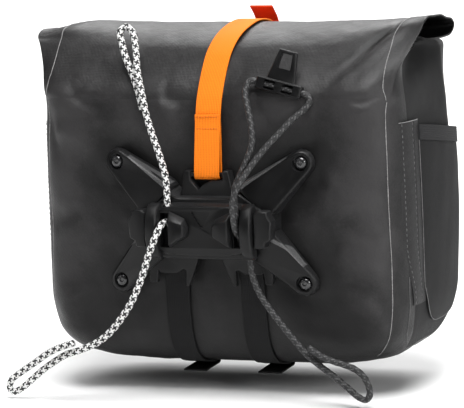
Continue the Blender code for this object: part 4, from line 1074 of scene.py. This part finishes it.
class MakeStage(bpy.types.Operator):
    """Floor, backdrop, lights and the camera"""
    bl_idname = "handlebar_bag.stage"
    bl_label = "Stage"

    def execute(self, context):
        turn, lift, roll = (math.radians(a) for a in (CAMERA_TURN, CAMERA_LIFT, CAMERA_ROLL))
        back = Vector((math.sin(turn) * math.cos(lift), -math.cos(turn) * math.cos(lift), math.sin(lift)))
        level = Vector((math.cos(turn), math.sin(turn), 0.0))
        upright = back.cross(level)
        right = math.cos(roll) * level - math.sin(roll) * upright
        up = math.sin(roll) * level + math.cos(roll) * upright
        eye = Vector(CAMERA_EYE)
        data = bpy.data.cameras.new("photo_camera")
        data.sensor_width = 36.0
        data.lens = data.sensor_width * FOCAL_PIXELS / FRAME_PIXELS
        data.clip_end = 30.0
        camera = bpy.data.objects.new("photo_camera", data)
        camera.matrix_world = Matrix(((right.x, up.x, back.x, eye.x), (right.y, up.y, back.y, eye.y),
                                      (right.z, up.z, back.z, eye.z), (0, 0, 0, 1)))
        context.scene.collection.objects.link(camera)
        context.scene.camera = camera
        self.floor()
        self.light("top", (0.35, -0.6, 1.9), 1.2, 56.0)
        self.light("side", (2.0, -0.9, 0.7), 0.7, 18.0)
        self.light("front", (-1.8, -1.4, 1.2), 0.8, 4.0)
        self.light("behind", (-0.2, 3.2, 2.4), 3.0, 190.0, (0, 2.6, -0.14))
        world = bpy.data.worlds.new("studio")
        world.use_nodes = True
        shade = world.node_tree.nodes["Background"]
        shade.inputs["Color"].default_value = (1, 1, 1, 1)
        path = world.node_tree.nodes.new("ShaderNodeLightPath")
        wires = Wires(world.node_tree)
        wires.join(wires.plus(wires.times(path.outputs["Is Camera Ray"], 0.88), 0.12),
                   shade.inputs["Strength"])
        context.scene.world = world
        context.scene.view_settings.view_transform = "Standard"
        return {"FINISHED"}

    def light(self, name, place, size, power, target=(0, 0.1, 0)):
        data = bpy.data.lights.new(name, "AREA")
        data.size = size
        data.energy = power
        lamp = bpy.data.objects.new(name, data)
        lamp.location = place
        lamp.rotation_euler = (Vector(target) - Vector(place)).to_track_quat("-Z", "Y").to_euler()
        bpy.context.scene.collection.objects.link(lamp)

    def floor(self):
        look, w, shader = looks().start("studio_floor")
        place = w.place()
        w.join(w.mix(w.noise(place, 2.0), (0.9, 0.9, 0.9), (0.93, 0.93, 0.93)), shader.inputs["Base Color"])
        shader.inputs["Roughness"].default_value = 0.9
        verts = [(x, y, FLOOR_Z) for x, y in ((-6, -6), (6, -6), (6, 8), (-6, 8))]
        data = bpy.data.meshes.new("floor")
        data.from_pydata(verts, [], [(0, 1, 2, 3)])
        data.materials.append(look)
        floor = bpy.data.objects.new("floor", data)
        bpy.context.scene.collection.objects.link(floor)


class MakeCords(bpy.types.Operator):
    """The four braided cords"""
    bl_idname = "handlebar_bag.cords"
    bl_label = "Cords"

    def execute(self, context):
        size = context.scene.bag_cords
        rows = (
            ("white_cord_upper", WHITE_UPPER_ROUTE, size.white, "white_cord", "reflective_cord", "bare"),
            ("white_cord_lower", WHITE_LOWER_ROUTE, size.white, "white_cord", "reflective_cord", "bare"),
            ("black_cord_upper", BLACK_UPPER_ROUTE, size.black, "black_cord", "black_cord", "object"),
            ("black_cord_lower", BLACK_LOWER_ROUTE, size.black, "black_cord", "black_cord", "bare"),
        )
        for node, route, diameter, look, slot, far_end in rows:
            made, path, total = cord_mesh(node + "_braid", route, diameter, looks()[look])
            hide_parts(node)
        return {"FINISHED"}


class MakeBody(bpy.types.Operator):
    """Body cloth and the rolled mouth"""
    bl_idname = "handlebar_bag.body"
    bl_label = "Bag body"

    def execute(self, context):
        make_shell(looks())
        make_roll(looks())
        for word, side in (("right", 1), ("left", -1)):
            share = np.linspace(0.04, 0.86, 120)
            # The seam lines' light grey colour is a painted highlight along the weld edges
            seam_line(f"side_seam_{word}", on_shell(side * SEAM_TURN, share, 0.0001), 0.00050, looks()["seam"])
            way = np.linspace(0.0, 0.30, 80)
            across = side * (0.978 - 0.10 * ease(0.0, 0.13, way))
            high = roll_sheet(across, way)
            high[:, 1] -= 0.0002
            high[:, 2] += 0.0002
            seam_line(f"roll_seam_{word}", high, 0.00045, looks()["seam"])
            share = np.linspace(0.03, 0.30, 60)
            turn = side * (0.390 + 0.02 * (1 - ease(0.03, 0.12, share)))
            seam_line(f"corner_seam_{word}", on_shell(turn, share, 0.0001), 0.00036, looks()["thread"])
        return {"FINISHED"}


class MakeStraps(bpy.types.Operator):
    """Closure strap, its tab, and the lower straps"""
    bl_idname = "handlebar_bag.straps"
    bl_label = "Straps"

    def execute(self, context):
        size = context.scene.bag_straps
        path = even_line(closure_path(), 300)
        rings, uv = strap_rings(path, size.closure_width, size.thickness, 0.0, 15, 0.00016)
        made = tube_mesh("closure_webbing", rings, looks()["orange"], uv)
        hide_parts("closure_strap")
        self.lap_stitches(size)
        tab = np.array(((189.0, 103.0), (187.8, 108.0), (185.0, 114.5), (179.0, 124.0), (169.5, 136.5),
                        (164.0, 146.0), (153.8, 155.4))) * MM
        rings, uv = strap_rings(even_line(tab, 90), size.tab_width, size.thickness, 0.0, 15, 0.00016)
        # The tab's webbing takes the redder, darker copy of the orange: painted shade
        made = tube_mesh("tab_webbing", rings, looks()["red_orange"], uv)
        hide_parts("strap_tab")
        for name, side in (("right", 1), ("left", -1)):
            path = even_line(self.lower_path(side), 220)
            rings, uv = strap_rings(path, size.lower_width, size.thickness, side * size.lower_place, 11,
                                    0.00014)
            made = tube_mesh(f"lower_webbing_{name}", rings, looks()["black_web"], uv)
            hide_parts(f"lower_strap_{name}")
        anchor = np.array([(on_shell(1.0, s, 0.0012)[1], on_shell(1.0, s, 0.0012)[2])
                           for s in np.linspace(0.64, 0.83, 12)])
        rings, uv = strap_rings(even_line(anchor, 60), size.lower_width, size.thickness, 0.0, 11, 0.00014)
        made = tube_mesh("anchor_webbing", rings, looks()["black_web"], uv)
        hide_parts("front_anchor")
        return {"FINISHED"}

    def lap_stitches(self, size):
        """Two rows of thread across the strap's lap."""
        front = -0.00085
        for word, low in (("upper", 0.0812), ("lower", 0.0722)):
            y = np.interp(low, (0.064, 0.076, 0.083), (0.0289, 0.0309, 0.0312)) + front
            row = np.stack([np.linspace(-1, 1, 20) * (size.closure_width / 2 - 0.0016), np.full(20, y),
                            np.full(20, low)], -1)
            stitch_row(f"strap_stitches_{word}", row, np.tile((0, -1.0, 0.1), (20, 1)),
                       looks()["orange_thread"], pitch=0.0021, long=0.0018, wide=0.00028)

    def lower_path(self, side):
        """Behind the lug, down the panel, round the bottom edge and back in a fold."""
        bag = sizes()
        place = side * bpy.context.scene.bag_straps.lower_place
        top = [(30.65, -34.5), (31.0, -39.0), (31.8, -46.0)]
        share = np.array((0.25, 0.2, 0.16, 0.12, 0.09, 0.065, 0.045, 0.03, 0.018, 0.008))
        turn = BACK_END * place / (bag.width / 2 - bag.corner)
        panel = on_shell(turn, share, 0.0013)[:, 1:] / MM
        under = bag.bottom / MM - 1.7
        bend = [(78.0, under), (84.0, under), (88.8, under - 0.2), (90.0, under - 1.6), (88.4, under - 3.0),
                (82.0, under - 3.2), (70.0, under - 3.8), (60.5, under - 4.4)]
        return np.concatenate([top, panel, bend]) * MM


class MakePockets(bpy.types.Operator):
    """Side pockets, hems and binding tapes"""
    bl_idname = "handlebar_bag.pockets"
    bl_label = "Side pockets"

    def execute(self, context):
        for name, side in (("right", 1), ("left", -1)):
            self.pocket(name, side)
        return {"FINISHED"}

    def side_x(self, y, z):
        """Half width of the bag's plain side at a depth and height."""
        bag = sizes()
        share = np.clip((z - bag.bottom) / bag.height, 0, 1)
        width, back, front, corner, _ = np.moveaxis(smooth_rows(SHELL_ROWS, share), -1, 0)
        half, radius = width * bag.width / 2, corner * bag.corner
        y_back, y_front = bag.back + back * bag.depth, bag.back + front * bag.depth
        off = np.maximum(np.maximum(y_back + radius - y, y - (y_front - radius)), 0)
        return half - radius + np.sqrt(np.maximum(radius ** 2 - off ** 2, 0))

    def pocket(self, name, side):
        bag = sizes()
        u, v = np.meshgrid(np.linspace(0, 1, 70), np.linspace(0, 1, 110))
        y = POCKET_BACK + (POCKET_FRONT - POCKET_BACK) * u
        rim = RIM_BACK + (RIM_FRONT - RIM_BACK) * u
        top = rim - 0.0123
        low_z = -0.0885 + 0.034 * np.abs(2 * u - 1) ** 3.2
        z = low_z + (top - low_z) * v
        swell = np.sin(np.pi * u) ** 0.7 * np.sin(np.pi / 2 * np.clip(v, 0, 1)) ** 0.6
        lift = 0.0007 + bag.pocket_bulge * swell + 0.0007 * waves(y / MM, z / MM, 31 + side, 6, 80, 24) * swell
        uv = np.stack([y, z], -1)
        x = self.side_x(y, z) + lift
        outer = np.stack([side * (x + 0.0013), y, z], -1)
        inner = np.stack([side * x, y, z], -1)
        made = slab_mesh(f"pocket_cloth_{name}", outer, inner, looks()["pocket"], uv)
        sharpen(made, 50)
        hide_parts(f"pocket_{name}")
        brim = np.concatenate([outer[::-1, 0][:-30], outer[0, :], outer[:80, -1]])
        seam_line(f"pocket_edge_{name}", brim, 0.00050, looks()["thread"])
        u, v = np.meshgrid(np.linspace(0, 1, 70), np.linspace(0, 1, 40))
        y = POCKET_BACK + (POCKET_FRONT - POCKET_BACK) * u
        z = RIM_BACK + (RIM_FRONT - RIM_BACK) * u - 0.012 * (1 - v)
        swell = np.sin(np.pi * u) ** 0.7
        ribs = 0.00022 * np.abs(np.sin(np.pi * 7 * v))
        x = self.side_x(y, z) + 0.0006 + bag.pocket_bulge * swell
        outer = np.stack([side * (x + 0.0021 + ribs), y, z], -1)
        inner = np.stack([side * x, y, z], -1)
        made = slab_mesh(f"pocket_hem_{name}_ribbed", outer, inner, looks()["hem"],
                         np.stack([z, y], -1))
        sharpen(made, 50)
        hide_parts(f"pocket_hem_{name}")
        self.band(name, side)

    def band(self, name, side):
        """The binding: a strip between two depths, bent forward at its foot, with two rows of stitches."""
        u, v = np.meshgrid(np.linspace(0, 1, 40), np.linspace(0, 1, 120))
        z = -0.0680 + (0.074 + 0.0680) * v
        y = 0.0535 + (0.0820 - 0.0535) * u + 0.010 * (1 - ease(0.0, 0.35, v)) * (1 - 0.4 * u)
        x = self.side_x(y, z) + 0.0004
        fold = 0.0005 * ease(0.62, 0.7, u) + 0.00015 * waves(y / MM, z / MM, 37, 5, 30, 8)
        foot = 0.25 + 0.75 * ease(0.0, 0.10, v)
        outer = np.stack([side * (x + (0.0007 + fold) * foot), y, z], -1)
        inner = np.stack([side * x, y, z], -1)
        made = slab_mesh(f"pocket_tape_{name}_band", outer, inner, looks()["tape"],
                         np.stack([y, z], -1))
        sharpen(made, 50)
        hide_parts(f"pocket_tape_{name}")
        normal = np.tile((side * 1.0, -0.2, 0.0), (120, 1))
        for column, word in ((5, "outer"), (24, "inner")):
            stitch_row(f"tape_stitches_{name}_{word}", outer[:, column], normal, looks()["thread"],
                       pitch=0.0042, long=0.0026, wide=0.00030)
        # The tape's top edge in the same light grey: painted highlight
        seam_line(f"tape_top_{name}", outer[-1, :], 0.0004, looks()["seam"])


class MakeHardware(bpy.types.Operator):
    """Adapter plate, bracket, latches, clasp and screws"""
    bl_idname = "handlebar_bag.hardware"
    bl_label = "Hardware"

    def execute(self, context):
        for node, edge in (("adapter_plate", 0.0005), ("bracket_housing", 0.0005), ("cord_guide_left", 0.0004),
                           ("cord_guide_right", 0.0004), ("latch_left", 0.0005), ("latch_right", 0.0005),
                           ("front_clasp", 0.0006), ("cord_hook", 0.0004)):
            self.rounded(node, edge)
        # Light strips along the arms' upper rims, as painted highlights, wider on the upper arms
        for word, x, z, inner, outer in (("top_left", -SCREW_X, SCREW_Z, 5.6, 1.3),
                                         ("top_right", SCREW_X, SCREW_Z, 4.6, 1.3),
                                         ("bottom_right", SCREW_X, -SCREW_Z, 3.2, 1.6),
                                         ("bottom_left", -SCREW_X, -SCREW_Z, 1.6, 1.0)):
            self.arm_rim_highlight(word, x, z, inner, outer)
        for up in ("top", "bottom"):
            for hand in ("left", "right"):
                self.screw(f"screw_{up}_{hand}")
        return {"FINISHED"}

    def rounded(self, node, edge):
        """The node's own shape with its doubles merged and its edges rounded."""
        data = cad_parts[node].data.copy()
        data.name = node + "_moulding"
        shape = bmesh.new()
        shape.from_mesh(data)
        bmesh.ops.remove_doubles(shape, verts=shape.verts, dist=2e-6)
        bmesh.ops.dissolve_limit(shape, angle_limit=math.radians(0.5), verts=shape.verts, edges=shape.edges)
        shape.to_mesh(data)
        shape.free()
        data.materials.clear()
        data.materials.append(looks()["plastic"])
        made = bpy.data.objects.new(data.name, data)
        bpy.context.scene.collection.objects.link(made)
        data.shade_smooth()
        bevelled(made, edge)
        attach(made, ROOT)
        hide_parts(node)

    def arm_rim_highlight(self, word, x, z, inner, outer):
        """A sloped light strip along an arm's upper rim, a painted highlight where the rim catches the light:
        the rim is the last place square to the arm where the plate has a front, and the strip runs in from it
        by a width that grows from the screw to the hub."""
        way = np.array((x, z)) / math.hypot(x, z)
        across = np.array((-way[1], way[0])) * np.sign(way[0])
        run = np.linspace(41.0, 82.5, 70)
        off = np.arange(0, 20, 0.1)
        grid = run[:, None, None] * way + off[None, :, None] * across
        there = np.isfinite(front_of("adapter_plate", grid[..., 0] * MM, grid[..., 1] * MM))
        rim = off[np.where(there.all(1), len(off) - 1, np.argmin(there, 1) - 1)]
        rim = np.convolve(np.pad(rim, 4, mode="edge"), np.ones(9) / 9, mode="valid")
        share = (run - run[0]) / (run[-1] - run[0])
        width = inner + (outer - inner) * share
        u = np.linspace(0, 1, 7)
        place = run[:, None, None] * way + (rim[:, None] - 0.5 - width[:, None] * (1 - u))[..., None] * across
        px, pz = place[..., 0] * MM, place[..., 1] * MM
        y = front_of("adapter_plate", px, pz)
        y = np.where(np.isfinite(y), y, np.nanmedian(y))
        swell = np.sin(np.pi * np.clip(share[:, None] * 1.02, 0.02, 0.98)) ** 0.3
        rise = 0.0001 + 0.00055 * (1 - u[None]) * swell
        top = np.stack([px, y - rise, pz], -1)
        low = np.stack([px, y + 0.0003, pz], -1)
        made = slab_mesh(f"arm_rim_highlight_{word}", top, low, looks()["facet"],
                         np.stack([px, pz], -1))
        sharpen(made, 40)

    def screw(self, node):
        """A domed head turned about its axis, with a six-lobed socket that narrows to its floor."""
        low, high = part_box(node)
        centre = np.array(((low.x + high.x) / 2, 0, (low.z + high.z) / 2))
        face = low.y
        profile = np.array(((0.0, 1.5), (0.6, 1.5), (1.15, 1.45), (1.5, 1.2), (1.62, 0.4), (1.8, 0.08),
                            (2.4, 0.12), (3.2, 0.42), (4.0, 0.98), (4.7, 1.8), (5.1, 2.6), (5.2, 3.1),
                            (5.05, 3.25), (2.5, 3.3), (2.5, 7.2), (0.0, 7.3)))
        dense = smooth_line(profile, np.linspace(0, 1, 90))
        angle = np.linspace(0, 2 * np.pi, 60, endpoint=False)
        r = np.maximum(dense[:, :1], 0.0) * np.ones_like(angle)[None]
        socket = (dense[:, :1] < 1.9) & (dense[:, 1:] < 1.6)
        r = r * np.where(socket, 1 + 0.13 * np.cos(6 * angle)[None], 1)
        rings = np.stack([centre[0] + r * MM * np.cos(angle), face + dense[:, 1:] * MM + 0 * r,
                          centre[2] + r * MM * np.sin(angle)], -1)
        rings[0, :, [0, 2]] = centre[[0, 2], None]
        rings[-1, :, [0, 2]] = centre[[0, 2], None]
        made = tube_mesh(node + "_head", rings[:, ::-1], looks()["steel"], caps=False)
        close_poles(made)
        sharpen(made, 50)
        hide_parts(node)


def front_of(node, x, z):
    """Depth of a node's nearest surface in front of each place: the plane of the triangle over it."""
    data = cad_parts[node].data
    data.calc_loop_triangles()
    index = np.zeros(len(data.loop_triangles) * 3, np.int32)
    data.loop_triangles.foreach_get("vertices", index)
    co = np.zeros(len(data.vertices) * 3)
    data.vertices.foreach_get("co", co)
    a, b, c = (co.reshape(-1, 3)[index.reshape(-1, 3)[:, k]] for k in range(3))
    area = (b[:, 0] - a[:, 0]) * (c[:, 2] - a[:, 2]) - (b[:, 2] - a[:, 2]) * (c[:, 0] - a[:, 0])
    wide = np.abs(area) > 1e-12
    a, b, c, area = a[wide], b[wide], c[wide], area[wide]
    flat_x, flat_z = np.ravel(x)[:, None], np.ravel(z)[:, None]
    s = ((flat_x - a[:, 0]) * (c[:, 2] - a[:, 2]) - (flat_z - a[:, 2]) * (c[:, 0] - a[:, 0])) / area
    t = ((b[:, 0] - a[:, 0]) * (flat_z - a[:, 2]) - (b[:, 2] - a[:, 2]) * (flat_x - a[:, 0])) / area
    y = a[:, 1] + s * (b[:, 1] - a[:, 1]) + t * (c[:, 1] - a[:, 1])
    over = (s >= -1e-6) & (t >= -1e-6) & (s + t <= 1 + 1e-6)
    nearest = np.where(over, y, np.inf).min(1)
    return np.where(np.isfinite(nearest), nearest, np.nan).reshape(np.shape(x))


def close_poles(made):
    """Merges the points that meet on the turning axis."""
    shape = bmesh.new()
    shape.from_mesh(made.data)
    bmesh.ops.remove_doubles(shape, verts=shape.verts, dist=1e-6)
    bmesh.ops.recalc_face_normals(shape, faces=shape.faces)
    shape.to_mesh(made.data)
    shape.free()


class MAKER_PT_panel(bpy.types.Panel):
    """Buttons and sizes of the bag"""
    bl_label = "Handlebar Bag"
    bl_idname = "MAKER_PT_panel"
    bl_space_type = "VIEW_3D"
    bl_region_type = "UI"
    bl_category = "Handlebar Bag"

    def draw(self, context):
        for group in ("bag_sizes", "bag_straps", "bag_cords", "bag_finishes"):
            values = getattr(context.scene, group)
            for key in values.__annotations__:
                self.layout.prop(values, key)
        for maker in OPERATORS:
            self.layout.operator(maker.bl_idname)


OPERATORS = (MakeStage, MakeCords, MakeBody, MakePockets, MakeStraps, MakeHardware)
GROUPS = (("bag_sizes", BagSizes), ("bag_straps", StrapSizes), ("bag_cords", CordSizes),
          ("bag_finishes", Finishes))


def register():
    for name, kind in GROUPS:
        bpy.utils.register_class(kind)
        setattr(bpy.types.Scene, name, PointerProperty(type=kind))
    for kind in OPERATORS + (MAKER_PT_panel,):
        bpy.utils.register_class(kind)


def unregister():
    for kind in (MAKER_PT_panel,) + OPERATORS[::-1]:
        bpy.utils.unregister_class(kind)
    for name, kind in GROUPS[::-1]:
        delattr(bpy.types.Scene, name)
        bpy.utils.unregister_class(kind)


def main():
    register()
    for maker in OPERATORS:
        word = maker.bl_idname.split(".")[1]
        getattr(bpy.ops.handlebar_bag, word)()


if __name__ == "__main__":
    main()
